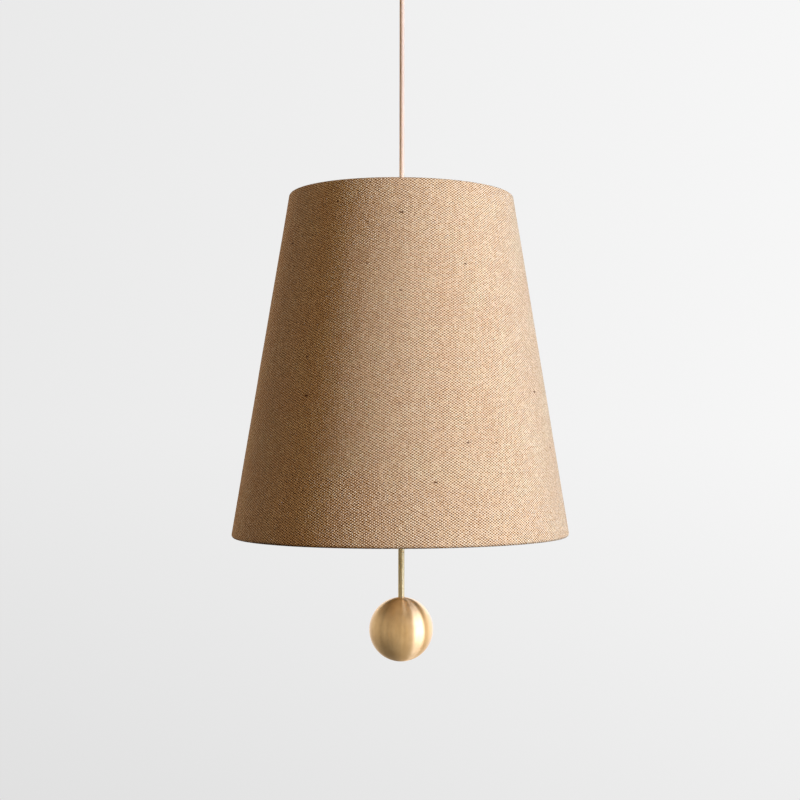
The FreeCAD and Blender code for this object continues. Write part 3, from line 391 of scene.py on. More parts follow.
def make_finishes():
    """Every finish, by the record's slot, and two more kinds of brass."""
    tints = colours()
    return {
        "shade_weave": woven_cloth(),
        "cord_textile": braided_sleeve_finish(),
        "satin_brass": turned_brass("satin_turned_brass", tints.brass, tints.brass_dark, 0.37, 0.0004),
        # Drawn brass rod: a greener, paler yellow than the ball
        "drawn_brass": turned_brass("satin_drawn_brass", tints.rod, tints.rod_dark, 0.54, 0.0004),
        # Drawn and machined brass away from the light's axis: even satin without rings
        "small_brass": plain_metal("satin_machined_brass", "#dcb67e", "#c79c64", 0.30, 0.0003),
        # Zinc plate: cool grey with faint clouds
        "zinc_steel": plain_metal("zinc_plated_steel", "#b9bcbd", "#9a9c9a", 0.35, 0.0003),
        # Powder coat on wire: warm white with an orange-peel skin
        "painted_wire": plain_coat("white_powder_coat", "#efece4", "#e2ded4", 0.45, 0.0006, 0.00005),
        # Stiff film behind the cloth: matt white, faintly uneven
        "liner_sheet": plain_coat("matt_pvc_film", "#f1ede3", "#e9e3d6", 0.6, 0.0012, 0.00003),
        # Moulded nylon: milky white with a soft satin skin
        "white_nylon": plain_coat("moulded_nylon", "#ecebe4", "#deddd4", 0.5, 0.0004, 0.00002),
        # Drawn PVC on the leads: even colour and a low gloss
        "lead_brown": plain_coat("brown_pvc", "#5b3a24", "#4a2d1a", 0.4, 0.0005, 0.00002),
        "lead_blue": plain_coat("blue_pvc", "#2f5fae", "#264f96", 0.4, 0.0005, 0.00002),
        "lead_earth": earth_lead_finish(),
        # Unglazed steatite: chalky off-white with a dry skin
        "holder_ceramic": plain_coat("steatite_ceramic", "#efe9dc", "#e1d9c8", 0.7, 0.0003, 0.00003),
        # Moulded PBT: clean white with a fine even skin
        "bulb_plastic": plain_coat("moulded_pbt", "#f1f0ec", "#e7e5df", 0.4, 0.0004, 0.00001),
        # Opal envelope: milky, glossy and a little see-through
        "bulb_opal": plain_coat("opal_glass", "#f6f5f0", "#f1efe8", 0.15, 0.002, 0.00001,
                                {"Transmission Weight": 0.25, "Coat Weight": 0.3}),
        # Light board under its coat: pale yellow and matt
        "light_board": plain_coat("coated_light_board", "#e4dfb0", "#d8cf86", 0.5, 0.0008, 0.00002),
    }


# Shapes

def shade_slope():
    """Half angle of the shade's cone."""
    low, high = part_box("shade_fabric")
    return math.atan2((sizes().shade_bottom - sizes().shade_top) / 2, high.z - low.z)


def braid_pitch():
    """Length of cord in which a yarn moves on by its own width."""
    return math.pi * sizes().cord / sizes().cord_yarns


def new_tree(name, sockets):
    """Geometry Nodes tree with named inputs, and its input node."""
    tree = bpy.data.node_groups.new(name, "GeometryNodeTree")
    for socket, kind in sockets.items():
        tree.interface.new_socket(socket, in_out="INPUT", socket_type="NodeSocket" + kind)
    tree.interface.new_socket("Geometry", in_out="OUTPUT", socket_type="NodeSocketGeometry")
    return tree, add(tree, "NodeGroupInput").outputs


def close_tree(tree, shape, finish):
    """End a tree in real faces with a finish."""
    real = add(tree, "GeometryNodeRealizeInstances", {0: shape})
    smooth = add(tree, "GeometryNodeSetShadeSmooth", {"Geometry": real})
    coated = add(tree, "GeometryNodeSetMaterial", {"Geometry": smooth, "Material": finish})
    add(tree, "NodeGroupOutput", {0: coated})
    return tree


def turned_tree():
    """Tree that turns a section, drawn in XZ, about Z and lays out turn and run as a UV map."""
    tree, given = new_tree("turned_section", {"Section": "Geometry", "Segments": "Int", "Start": "Float",
                                              "Ripple": "Float", "Finish": "Material"})
    section = given["Section"]
    size = add(tree, "GeometryNodeAttributeDomainSize", {0: section}, component="MESH")
    count = size.outputs["Point Count"]
    columns = add(tree, MATH, {0: given["Segments"], 1: 1.0}, "ADD")
    grid = add(tree, "GeometryNodeMeshGrid", {"Vertices X": columns, "Vertices Y": count})
    index = add(tree, "GeometryNodeInputIndex")
    row = add(tree, "FunctionNodeIntegerMath", {0: index, 1: count}, "MODULO")
    column = add(tree, "FunctionNodeIntegerMath", {0: index, 1: count}, "DIVIDE_FLOOR")
    position = add(tree, "GeometryNodeInputPosition")
    point = add(tree, "GeometryNodeSampleIndex", {"Geometry": section, "Value": position, "Index": row},
                data_type="FLOAT_VECTOR")
    named = add(tree, "GeometryNodeInputNamedAttribute", {"Name": "run"}, data_type="FLOAT")
    run = add(tree, "GeometryNodeSampleIndex", {"Geometry": section, "Value": named, "Index": row},
              data_type="FLOAT")
    step = add(tree, MATH, {0: 2 * math.pi, 1: given["Segments"]}, "DIVIDE")
    turn = add(tree, MATH, {0: column, 1: step, 2: given["Start"]}, "MULTIPLY_ADD")
    turned = add(tree, "ShaderNodeVectorRotate", {"Vector": point, "Angle": turn}, rotation_type="Z_AXIS")
    # A ripple of about a centimetre strays out and in, and is the same at both ends of the turn
    wander = add(tree, NOISE, {"Vector": turned, "Scale": 90.0, "Detail": 1.0})
    sway = add(tree, MAP_RANGE, {0: wander, 3: -1.0, 4: 1.0})
    stray = add(tree, MATH, {0: sway, 1: given["Ripple"]}, "MULTIPLY")
    outward = add(tree, VECTOR_MATH, {0: turned, 1: (1.0, 1.0, 0.0)}, "MULTIPLY")
    outward = add(tree, VECTOR_MATH, {0: outward}, "NORMALIZE")
    offset = add(tree, VECTOR_MATH, {0: outward, "Scale": stray}, "SCALE")
    placed = add(tree, "GeometryNodeSetPosition", {"Geometry": grid, "Position": turned, "Offset": offset})
    flat = add(tree, COMBINE, {0: turn, 1: run})
    held = add(tree, "GeometryNodeCaptureAttribute", {0: placed})
    held.capture_items.new("VECTOR", "Flat")
    set_inputs(tree, held, {"Flat": flat})
    mapped = add(tree, "GeometryNodeStoreNamedAttribute",
                 {"Geometry": held, "Name": "UVMap", "Value": held.outputs["Flat"]},
                 data_type="FLOAT2", domain="CORNER")
    closed = add(tree, "GeometryNodeMergeByDistance", {"Geometry": mapped, "Distance": SKIN_WELD})
    return close_tree(tree, closed, given["Finish"])


def sleeve_tree():
    """Tree that weaves a braided sleeve along a line."""
    tree, given = new_tree("braided_sleeve", {"Line": "Geometry", "Radius": "Float", "Yarns": "Int",
                                              "Pitch": "Float", "Relief": "Float", "Finish": "Material"})
    rings_in_pitch = 6.25
    line = add(tree, "GeometryNodeMeshToCurve", {0: given["Line"]})
    step = add(tree, MATH, {0: given["Pitch"], 1: 1 / rings_in_pitch}, "MULTIPLY")
    fine = add(tree, "GeometryNodeResampleCurve", {"Curve": line, "Length": step}, mode="LENGTH")
    spline = add(tree, "GeometryNodeSplineParameter")
    along = add(tree, "GeometryNodeCaptureAttribute", {0: fine})
    along.capture_items.new("FLOAT", "Along")
    set_inputs(tree, along, {"Along": spline.outputs["Length"]})
    circle = add(tree, "GeometryNodeCurvePrimitiveCircle", {"Resolution": 48, "Radius": given["Radius"]})
    around = add(tree, "GeometryNodeCaptureAttribute", {0: circle})
    around.capture_items.new("FLOAT", "Around")
    set_inputs(tree, around, {"Around": spline.outputs["Factor"]})
    tube = add(tree, "GeometryNodeCurveToMesh",
               {"Curve": along.outputs[0], "Profile Curve": around.outputs[0], "Fill Caps": True})
    yarn = add(tree, MATH, {0: around.outputs["Around"], 1: given["Yarns"]}, "MULTIPLY")
    rise = add(tree, MATH, {0: along.outputs["Along"], 1: given["Pitch"]}, "DIVIDE")
    counters = [add(tree, MATH, {0: yarn, 1: rise}, way) for way in ("ADD", "SUBTRACT")]
    height = over_under(tree, counters)[0]
    sink = add(tree, MATH, {0: height, 1: 1.0}, "SUBTRACT")
    depth = add(tree, MATH, {0: sink, 1: given["Relief"]}, "MULTIPLY")
    normal = add(tree, "GeometryNodeInputNormal")
    offset = add(tree, VECTOR_MATH, {0: normal, "Scale": depth}, "SCALE")
    woven = add(tree, "GeometryNodeSetPosition", {"Geometry": tube, "Offset": offset})
    return close_tree(tree, woven, given["Finish"])


def join_raised(tree, core, shape, height):
    """A core with a shape beside it, which is raised by a height."""
    lift = add(tree, COMBINE, {2: height})
    raised = add(tree, "GeometryNodeTransform", {"Geometry": shape, "Translation": lift})
    whole = add(tree, "GeometryNodeJoinGeometry", {0: core})
    set_inputs(tree, whole, {0: raised})
    return whole


def thread_tree():
    """Tree that winds a thread's ridge round a turned core."""
    tree, given = new_tree("thread_ridge", {"Core": "Geometry", "Radius": "Float", "Pitch": "Float",
                                            "Length": "Float", "Base": "Float", "Finish": "Material"})
    ridge_share = 0.42
    turns = add(tree, MATH, {0: given["Length"], 1: given["Pitch"]}, "DIVIDE")
    helix = add(tree, "GeometryNodeCurveSpiral",
                {"Resolution": 28, "Rotations": turns, "Start Radius": given["Radius"],
                 "End Radius": given["Radius"], "Height": given["Length"]})
    width = add(tree, MATH, {0: given["Pitch"], 1: ridge_share}, "MULTIPLY")
    profile = add(tree, "GeometryNodeCurvePrimitiveCircle", {"Resolution": 4, "Radius": width})
    ridge = add(tree, "GeometryNodeCurveToMesh",
                {"Curve": helix, "Profile Curve": profile, "Fill Caps": True})
    whole = join_raised(tree, given["Core"], ridge, given["Base"])
    return close_tree(tree, whole, given["Finish"])


def knurl_tree():
    """Tree that sets straight knurls round a screw's head."""
    tree, given = new_tree("knurled_head", {"Screw": "Geometry", "Ridges": "Int", "Radius": "Float",
                                            "Length": "Float", "Middle": "Float", "Finish": "Material"})
    ridge_share = 0.11
    circle = add(tree, "GeometryNodeMeshCircle", {"Vertices": given["Ridges"], "Radius": given["Radius"]})
    width = add(tree, MATH, {0: given["Radius"], 1: ridge_share}, "MULTIPLY")
    size = add(tree, COMBINE, {0: width, 1: width, 2: given["Length"]})
    ridge = add(tree, "GeometryNodeMeshCube", {"Size": size})
    index = add(tree, "GeometryNodeInputIndex")
    step = add(tree, MATH, {0: 2 * math.pi, 1: given["Ridges"]}, "DIVIDE")
    turn = add(tree, MATH, {0: index, 1: step, 2: math.pi / 4}, "MULTIPLY_ADD")
    euler = add(tree, COMBINE, {2: turn})
    rotation = add(tree, "FunctionNodeEulerToRotation", {0: euler})
    ring = add(tree, "GeometryNodeInstanceOnPoints",
               {"Points": circle, "Instance": ridge.outputs["Mesh"], "Rotation": rotation})
    whole = join_raised(tree, given["Screw"], ring, given["Middle"])
    return close_tree(tree, whole, given["Finish"])


def give_nodes(piece, tree, inputs):
    """Put a Geometry Nodes tree on a piece and set its inputs by their identifiers."""
    modifier = piece.modifiers.new(tree.name, "NODES")
    modifier.node_group = tree
    sockets = {item.name: item.identifier for item in tree.interface.items_tree if item.in_out == "INPUT"}
    for name, value in inputs.items():
        modifier[sockets[name]] = value


def make_plain(piece):
    """Turn a piece with Geometry Nodes into a plain mesh without them."""
    graph = bpy.context.evaluated_depsgraph_get()
    shown = piece.evaluated_get(graph)
    mesh = bpy.data.meshes.new_from_object(shown, preserve_all_data_layers=True, depsgraph=graph)
    piece.modifiers.clear()
    piece.data = mesh
    mesh.name = piece.name
    return piece


def new_piece(name, shape):
    """Object of a mesh or a curve, linked to the scene."""
    piece = bpy.data.objects.new(name, shape)
    bpy.context.scene.collection.objects.link(piece)
    return piece


def line_mesh(name, points):
    """Mesh of points joined in order by edges."""
    mesh = bpy.data.meshes.new(name)
    mesh.from_pydata(points, [(start, start + 1) for start in range(len(points) - 1)], [])
    return mesh


def smooth_faces(mesh, angle=40):
    """Merge doubles, turn faces outwards and keep edges sharper than the angle crisp."""
    work = bmesh.new()
    work.from_mesh(mesh)
    bmesh.ops.remove_doubles(work, verts=work.verts, dist=MESH_WELD)
    bmesh.ops.recalc_face_normals(work, faces=work.faces)
    work.to_mesh(mesh)
    work.free()
    mesh.shade_smooth()
    mesh.set_sharp_from_angle(angle=math.radians(angle))


def turned_piece(name, section, finish, runs=None, segments=96, start=0.0, ripple=0.0):
    """Piece turned about Z from (radius, height) points, which close on themselves or end on the axis."""
    mesh = line_mesh(name, [(radius, 0.0, height) for radius, height in section])
    if runs:
        mesh.attributes.new("run", "FLOAT", "POINT").data.foreach_set("value", runs)
    piece = new_piece(name, mesh)
    give_nodes(piece, bpy.data.node_groups["turned_section"], {
        "Segments": segments, "Start": start, "Ripple": ripple, "Finish": finish})
    return piece


def eased(corners, radius, closed=True):
    """Section whose corners are softened, with four points on a small curve in place of each."""
    # A corner takes less than half of each side
    side_share = 0.45
    points = []
    count = len(corners)
    for index, corner in enumerate(corners):
        if not closed and index in (0, count - 1):
            points.append(corner)
            continue
        here = Vector(corner)
        before = Vector(corners[index - 1])
        after = Vector(corners[(index + 1) % count])
        reach = min(radius, side_share * (before - here).length, side_share * (after - here).length)
        start = here + (before - here).normalized() * reach
        end = here + (after - here).normalized() * reach
        for share in (0.0, 0.33, 0.67, 1.0):
            first = start.lerp(here, share)
            second = here.lerp(end, share)
            points.append(tuple(first.lerp(second, share)))
    if closed:
        points.append(points[0])
    return points


def arc(centre, radius, start, sweep, steps):
    """Points of an arc in a section."""
    angles = [start + sweep * step / steps for step in range(steps + 1)]
    return [(centre[0] + radius * math.cos(a), centre[1] + radius * math.sin(a)) for a in angles]


def slot_of(node):
    """The record's slot of a CAD node."""
    return next(part["material_slot"] for part in frame["record"]["subparts"] if part["node"] == node)


def finish_for(slot):
    """The material of one of the record's slots, or of one of the other kinds of brass."""
    return bpy.data.materials[bpy.context.scene["pendant_slots"][slot]]


def finish_of(node):
    """The material of a CAD node: brass away from the light's axis has no rings round that axis."""
    return finish_for("small_brass" if node in SMALL_BRASS else slot_of(node))


def finish_piece(piece, node, stands_for=True):
    """Let a piece ride on a CAD node's body and, where it stands for the node, hide the node."""
    bodies = frame["record"]["behaviour"]["bodies"]
    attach(piece, next(body for body, nodes in bodies.items() if node in nodes))
    if stands_for:
        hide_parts(node)


def turned_part(node, name, section, finish, segments, angle=40, place=None):
    """Plain turned piece that stands for a CAD node, moved to a place where one is given."""
    piece = make_plain(turned_piece(name, section, finish, segments=segments))
    if place is not None:
        piece.data.transform(place)
    smooth_faces(piece.data, angle)
    finish_piece(piece, node)
    return piece


def eased_copy(node, finish, width):
    """Merged copy of a CAD node with its edges eased, which stands for the node."""
    mesh = frame["nodes"][node].data.copy()
    work = bmesh.new()
    work.from_mesh(mesh)
    bmesh.ops.remove_doubles(work, verts=work.verts, dist=MESH_WELD)
    flat = math.radians(0.5)
    bmesh.ops.dissolve_limit(work, angle_limit=flat, verts=work.verts, edges=work.edges)
    work.to_mesh(mesh)
    work.free()
    mesh.name = "eased_" + node
    mesh.materials.clear()
    mesh.materials.append(finish)
    mesh.shade_smooth()
    piece = new_piece("eased_" + node, mesh)
    bevel = piece.modifiers.new("ease", "BEVEL")
    bevel.width = width
    bevel.segments = 2
    bevel.limit_method = "ANGLE"
    bevel.angle_limit = math.radians(40)
    bevel.harden_normals = True
    make_plain(piece)
    finish_piece(piece, node)


def lamp_axis(azimuth):
    """Place of a lamp whose own axis is +Z and whose origin is the hub's centre."""
    hub_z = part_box("hub_upper")[0].z
    turn = Matrix.Rotation(math.radians(azimuth), 4, "Z") @ Matrix.Rotation(math.pi - LAMP_SPLAY, 4, "Y")
    return Matrix.Translation((0.0, 0.0, hub_z)) @ turn


def lamp_reach(node, azimuth):
    """Lowest and highest point along a lamp's axis, and the largest radius round it, of a CAD node."""
    back = lamp_axis(azimuth).inverted()
    points = [back @ vertex.co for vertex in frame["nodes"][node].data.vertices]
    heights = [point.z for point in points]
    return min(heights), max(heights), max(math.hypot(point.x, point.y) for point in points)


# Operators

class PENDANT_OT_stage(bpy.types.Operator):
    """Set the camera, the lights, the pale ground and the view"""

    bl_idname = "pendant.stage"
    bl_label = "Stage"

    def execute(self, context):
        scene = context.scene
        scene.view_settings.view_transform = "Standard"
        camera = bpy.data.objects.new("camera", bpy.data.cameras.new("camera"))
        camera.data.lens = 63.75
        camera.data.sensor_width = 36.0
        # The lens looked a little to the right of the light, and its picture was cropped to the light
        camera.location = (-0.0006, -1.271, -0.4405)
        camera.rotation_euler = (math.radians(91.366), 0.0, math.radians(-3.26))
        camera.data.shift_x = -0.1019
        scene.collection.objects.link(camera)
        scene.camera = camera
        self.soft_box(scene, "key", 60, 50.0, "#e7f1ff")
        self.soft_box(scene, "front", 30, 23.0, "#ffcb8c")
        self.soft_box(scene, "back", 180, 40.0, "#fff6ec")
        self.soft_box(scene, "rim", 240, 21.0, "#ffd4aa")
        self.bounce(scene)
        self.world(scene)
        self.floor(scene)
        return {"FINISHED"}

    def light(self, scene, name, shape, power, colour):
        """Area light that metal doesn't mirror, because it mirrors the world's own panels."""
        lamp = bpy.data.lights.new(name, "AREA")
        lamp.shape = shape
        lamp.energy = power
        lamp.color = linear(colour)[:3]
        holder = bpy.data.objects.new(name, lamp)
        holder.visible_glossy = False
        scene.collection.objects.link(holder)
        return holder

    def soft_box(self, scene, name, turn, power, colour):
        """Tall soft box turned to the middle of the shade, from a turn to the right of the camera's side."""
        side = math.radians(turn)
        reach = 2.0
        place = Vector((reach * math.sin(side), -reach * math.cos(side), 0.0))
        shade_middle = Vector((0.0, 0.0, -0.40))
        holder = self.light(scene, name, "RECTANGLE", power, colour)
        holder.data.size = 0.6
        holder.data.size_y = 1.0
        holder.location = place
        holder.rotation_euler = (shade_middle - place).to_track_quat("-Z", "Y").to_euler()

    def bounce(self, scene):
        """Soft light that the floor throws up into the shade, from below the ball."""
        below_ball = -0.80
        holder = self.light(scene, "bounce", "DISK", 0.3, "#ffe2be")
        holder.data.size = 0.12
        holder.data.spread = math.radians(34)
        holder.location = (0.0, 0.0, below_ball)
        holder.rotation_euler = (math.pi, 0.0, 0.0)
        holder.visible_camera = False

    def world(self, scene):
        """Warm dim fill for surfaces, and a pale ground for eye, metal and glass, lighter to the right."""
        world = bpy.data.worlds.new("studio")
        world.use_nodes = True
        tree = world.node_tree
        ground = tree.nodes["Background"]
        place = add(tree, PLACE).outputs["Generated"]
        x, y, z = add(tree, SEPARATE, {0: place}).outputs
        # The ground is about a fifth lighter on the right, and a third darker below
        side = add(tree, MATH, {0: x, 1: 0.22, 2: 1.0}, "MULTIPLY_ADD")
        below = add(tree, MATH, {0: z, 1: 0.0}, "MINIMUM")
        level = add(tree, MATH, {0: below, 1: 0.35, 2: side}, "MULTIPLY_ADD")
        # Metal sees upright panels and gaps round the room, some ten degrees wide
        bearing = add(tree, MATH, {0: x, 1: y}, "ARCTAN2")
        panels = add(tree, NOISE, {"W": bearing, "Scale": 9.0, "Detail": 2.0}, noise_dimensions="1D")
        panel = add(tree, MAP_RANGE, {0: panels, 1: 0.3, 2: 0.7, 3: 0.9, 4: 2.1})
        # The room is dim below, most of all on the left
        left = add(tree, MATH, {0: x, 1: 0.0}, "MINIMUM")
        corner = add(tree, MATH, {0: left, 1: below}, "MULTIPLY")
        deeper = add(tree, MATH, {0: below, 1: 0.4, 2: 1.0}, "MULTIPLY_ADD")
        dim = add(tree, MATH, {0: corner, 1: -1.2, 2: deeper}, "MULTIPLY_ADD")
        shine = add(tree, MATH, {0: panel, 1: dim}, "MULTIPLY")
        # Daylight from a soft box, a tall window and a bright wall on the right, each with its turn from the
        # camera's side, half width and soft edge in degrees, and its strength, which fades towards the floor
        fade = add(tree, MAP_RANGE, {0: z, 1: -0.55, 2: 0.1, 3: 0.0, 4: 1.0}, interpolation_type="SMOOTHSTEP")
        daylight = 0.0
        for turn, half, soft, strength in ((46, 6, 18, 1.2), (70, 17, 8, 8.0), (142, 20, 8, 0.8)):
            aside = add(tree, MATH, {0: bearing, 1: math.radians(180 - turn)}, "SUBTRACT")
            aside = add(tree, MATH, {0: aside}, "ABSOLUTE")
            outer = math.radians(half + soft)
            inner = math.radians(half)
            glow = add(tree, MAP_RANGE, {0: aside, 1: outer, 2: inner, 4: strength})
            daylight = add(tree, MATH, {0: glow, 1: fade, 2: daylight}, "MULTIPLY_ADD")
        shine = add(tree, MATH, {0: shine, 1: daylight}, "ADD")
        daylight_share = add(tree, MATH, {0: daylight, 1: shine}, "DIVIDE")
        ray = add(tree, "ShaderNodeLightPath").outputs
        mirrored = ray["Is Glossy Ray"]
        cool = add(tree, MATH, {0: daylight_share, 1: mirrored}, "MULTIPLY")
        tint = add(tree, MIX, {0: cool, 6: opaque(colours().backdrop), 7: opaque(colours().daylight)},
                   data_type="RGBA")
        share = add(tree, MIX, {0: mirrored, 2: 1.0, 3: shine}, data_type="FLOAT")
        shown = add(tree, MATH, {0: level, 1: share}, "MULTIPLY")
        set_inputs(tree, ground, {"Color": tint, "Strength": shown})
        fill = add(tree, "ShaderNodeBackground", {"Color": opaque(colours().fill), "Strength": 0.02})
        seen = add(tree, MATH, {0: ray["Is Camera Ray"], 1: mirrored}, "MAXIMUM")
        seen = add(tree, MATH, {0: seen, 1: ray["Is Transmission Ray"]}, "MAXIMUM")
        mixed = add(tree, "ShaderNodeMixShader", {0: seen, 1: fill, 2: ground})
        set_inputs(tree, tree.nodes["World Output"], {"Surface": mixed})
        scene.world = world

    def floor(self, scene):
        """Round pale floor well below the ball, which fades out at its edge."""
        radius = 2.4
        floor_z = -1.90
        mesh = bpy.data.meshes.new("floor")
        work = bmesh.new()
        bmesh.ops.create_circle(work, cap_ends=True, segments=96, radius=radius)
        bmesh.ops.translate(work, verts=work.verts, vec=(0.0, 0.0, floor_z))
        work.to_mesh(mesh)
        work.free()
        material, tree, surface = new_finish("pale_studio_floor")
        place = add(tree, PLACE).outputs["Object"]
        level = add(tree, VECTOR_MATH, {0: place, 1: (1.0, 1.0, 0.0)}, "MULTIPLY")
        reach = add(tree, VECTOR_MATH, {0: level}, "LENGTH")
        fade = add(tree, MAP_RANGE,
                   {0: reach.outputs["Value"], 1: 0.5 * radius, 2: 0.98 * radius, 3: 0.9, 4: 0.0},
                   interpolation_type="SMOOTHSTEP")
        set_inputs(tree, surface, {"Base Color": opaque(colours().backdrop), "Roughness": 0.9,
                                   "Specular IOR Level": 0.1, "Alpha": fade})
        mesh.materials.append(material)
        floor = new_piece("floor", mesh)
        floor.visible_diffuse = False
        floor.visible_glossy = False


class PENDANT_OT_finishes(bpy.types.Operator):
    """Make every finish and the Geometry Nodes trees that the pieces use"""

    bl_idname = "pendant.finishes"
    bl_label = "Finishes"

    def execute(self, context):
        names = {slot: material.name for slot, material in make_finishes().items()}
        context.scene["pendant_slots"] = names
        for make_tree in (turned_tree, sleeve_tree, thread_tree, knurl_tree):
            make_tree()
        return {"FINISHED"}


class PENDANT_OT_cord(bpy.types.Operator):
    """Make the taut cord, its fixed tail and its bend at the ceiling"""

    bl_idname = "pendant.cord"
    bl_label = "Cord"

    def execute(self, context):
        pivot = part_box("cord_bend")
        pivot_z = (pivot[0].z + pivot[1].z) / 2
        end_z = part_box("suspension_cord")[0].z
        # Straight for some diameters at either end
        settle = 6 * sizes().cord
        heights = [pivot_z, pivot_z - settle, end_z + settle, end_z]
        cord, path = self.sleeve("cord_sleeve", heights)
        finish_piece(cord, "suspension_cord")
        # The tail stops short of the pivot, so that the cord's end can turn below it
        tail_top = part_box("cord_tail")[1].z
        tail_gap = 0.3 * sizes().cord
        tail_end = pivot_z + tail_gap
        tail, _ = self.sleeve("cord_sleeve_tail", [tail_top, (tail_top + tail_end) / 2, tail_end])
        finish_piece(tail, "cord_tail")
        radius = sizes().cord / 2
        section = arc((0.0, pivot_z), radius, -math.pi / 2, math.pi, 16)
        finish = finish_for("cord_textile")
        bend = turned_part("cord_bend", "cord_sleeve_bend", section, finish, 48, angle=180)
        return {"FINISHED"}

    def sleeve(self, name, heights):
        """Braided sleeve along a NURBS line down the axis, and the points of that line."""
        relief_share = 0.06
        curve = bpy.data.curves.new(name + "_line", "CURVE")
        curve.dimensions = "3D"
        spline = curve.splines.new("NURBS")
        spline.points.add(len(heights) - 1)
        for point, height in zip(spline.points, heights):
            point.co = (0.0, 0.0, height, 1.0)
        spline.order_u = 3
        spline.use_endpoint_u = True
        holder = new_piece(name + "_line", curve)
        graph = bpy.context.evaluated_depsgraph_get()
        read = bpy.data.meshes.new_from_object(holder.evaluated_get(graph), depsgraph=graph)
        path = [tuple(vertex.co) for vertex in read.vertices]
        bpy.data.objects.remove(holder)
        piece = new_piece(name, line_mesh(name, path))
        give_nodes(piece, bpy.data.node_groups["braided_sleeve"], {
            "Radius": sizes().cord / 2, "Yarns": sizes().cord_yarns, "Pitch": braid_pitch(),
            "Relief": relief_share * sizes().cord, "Finish": finish_for("cord_textile")})
        smooth_faces(make_plain(piece).data, 60)
        return piece, path


class PENDANT_OT_shade(bpy.types.Operator):
    """Make the woven cone with its rolled hems and the lap seam at its back"""

    bl_idname = "pendant.shade"
    bl_label = "Shade"

    def execute(self, context):
        self.measure()
        section, runs = self.cloth_section()
        finish = finish_for("shade_weave")
        cloth = turned_piece("woven_shade", section, finish, runs, segments=288, start=BACK,
                             ripple=sizes().hem_ripple)
        smooth_faces(make_plain(cloth).data, 60)
        finish_piece(cloth, "shade_fabric")
        seam = self.seam(finish)
        finish_piece(seam, "shade_fabric", stands_for=False)
        return {"FINISHED"}

    def measure(self):
        """Hem centres and the cloth's run from the cone's point, from the frame's box and the sizes."""
        low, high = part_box("shade_fabric")
        self.slope = shade_slope()
        self.hem_bore = sizes().ring_wire / 2 + sizes().glue_gap
        self.hem_radius = self.hem_bore + sizes().cloth
        lean = self.hem_radius * math.tan(self.slope)
        side = self.hem_radius / math.cos(self.slope)
        self.top = (sizes().shade_top / 2 + lean - side, high.z - self.hem_radius)
        self.bottom = (sizes().shade_bottom / 2 - lean - side, low.z + self.hem_radius)
        reach = self.hem_radius * math.cos(self.slope)
        self.top_run = (self.top[0] + reach) / math.sin(self.slope)
        self.bottom_run = (self.bottom[0] + reach) / math.sin(self.slope)

    def cloth_section(self):
        """Closed section of the cloth, and each point's run along the cloth from the cone's point."""
        wrap = sizes().hem_wrap
        steps = 18
        wall_steps = 16
        turns = [wrap * step / steps for step in range(steps + 1)]
        lower = [self.bottom_run + self.hem_radius * turn for turn in turns]
        upper = [self.top_run - self.hem_radius * turn for turn in turns]
        wall = [step / wall_steps for step in range(1, wall_steps)]
        outer_top = arc(self.top, self.hem_radius, self.slope + wrap, -wrap, steps)
        outer_bottom = arc(self.bottom, self.hem_radius, self.slope, -wrap, steps)
        inner_bottom = arc(self.bottom, self.hem_bore, self.slope - wrap, wrap, steps)
        inner_top = arc(self.top, self.hem_bore, self.slope, wrap, steps)
        section = outer_bottom + inner_bottom
        runs = lower + lower[::-1]
        section += self.between(inner_bottom[-1], inner_top[0], wall)
        runs += [self.bottom_run + (self.top_run - self.bottom_run) * share for share in wall]
        section += inner_top + outer_top
        runs += upper + upper[::-1]
        section += self.between(outer_top[-1], outer_bottom[0], wall)
        runs += [self.top_run + (self.bottom_run - self.top_run) * share for share in wall]
        return section + section[:1], runs + runs[:1]

    def between(self, start, end, shares):
        """Points of a straight stretch, at shares of its length."""
        return [(start[0] + (end[0] - start[0]) * share, start[1] + (end[1] - start[1]) * share)
                for share in shares]

    def seam(self, finish):
        """Lapped strip down the back, over both hems, with soft edges."""
        half = sizes().seam_width / 2
        # Across the strip, in shares of its half width and of its height
        profile = [(-1.0, -0.6), (-0.97, 0.6), (-0.88, 1.0), (0.0, 1.0), (0.88, 1.0), (0.97, 0.6),
                   (1.0, -0.6)]
        # The strip follows each hem this far round
        roll = math.radians(115)
        steps = 10
        turns = [roll * step / steps for step in range(steps + 1)]
        rows = [(self.top, self.slope + turn, self.top_run - self.hem_radius * turn) for turn in turns[::-1]]
        rows += [(self.bottom, self.slope - turn, self.bottom_run + self.hem_radius * turn) for turn in turns]
        # The strip's threads don't meet those of the cloth below it
        shift_around = 0.4
        shift_along = 0.0004
        mesh = bpy.data.meshes.new("lap_seam")
        work = bmesh.new()
        layer = work.loops.layers.uv.new("UVMap")
        grid = []
        places = {}
        for centre, angle, run in rows:
            row = []
            for across, lift in profile:
                reach = self.hem_radius + sizes().seam_raise * lift
                radius = centre[0] + reach * math.cos(angle)
                turn = BACK + half * across / radius
                vertex = work.verts.new((radius * math.cos(turn), radius * math.sin(turn),
                                         centre[1] + reach * math.sin(angle)))
                places[vertex] = (turn + shift_around, run + shift_along)
                row.append(vertex)
            grid.append(row)
        for upper, lower in zip(grid, grid[1:]):
            for index in range(len(profile)):
                face = work.faces.new((upper[index - 1], lower[index - 1], lower[index], upper[index]))
                for loop in face.loops:
                    loop[layer].uv = places[loop.vert]
        work.faces.new(grid[0])
        work.faces.new(grid[-1][::-1])
        work.to_mesh(mesh)
        work.free()
        mesh.materials.append(finish)
        smooth_faces(mesh, 70)
        return new_piece("lap_seam", mesh)


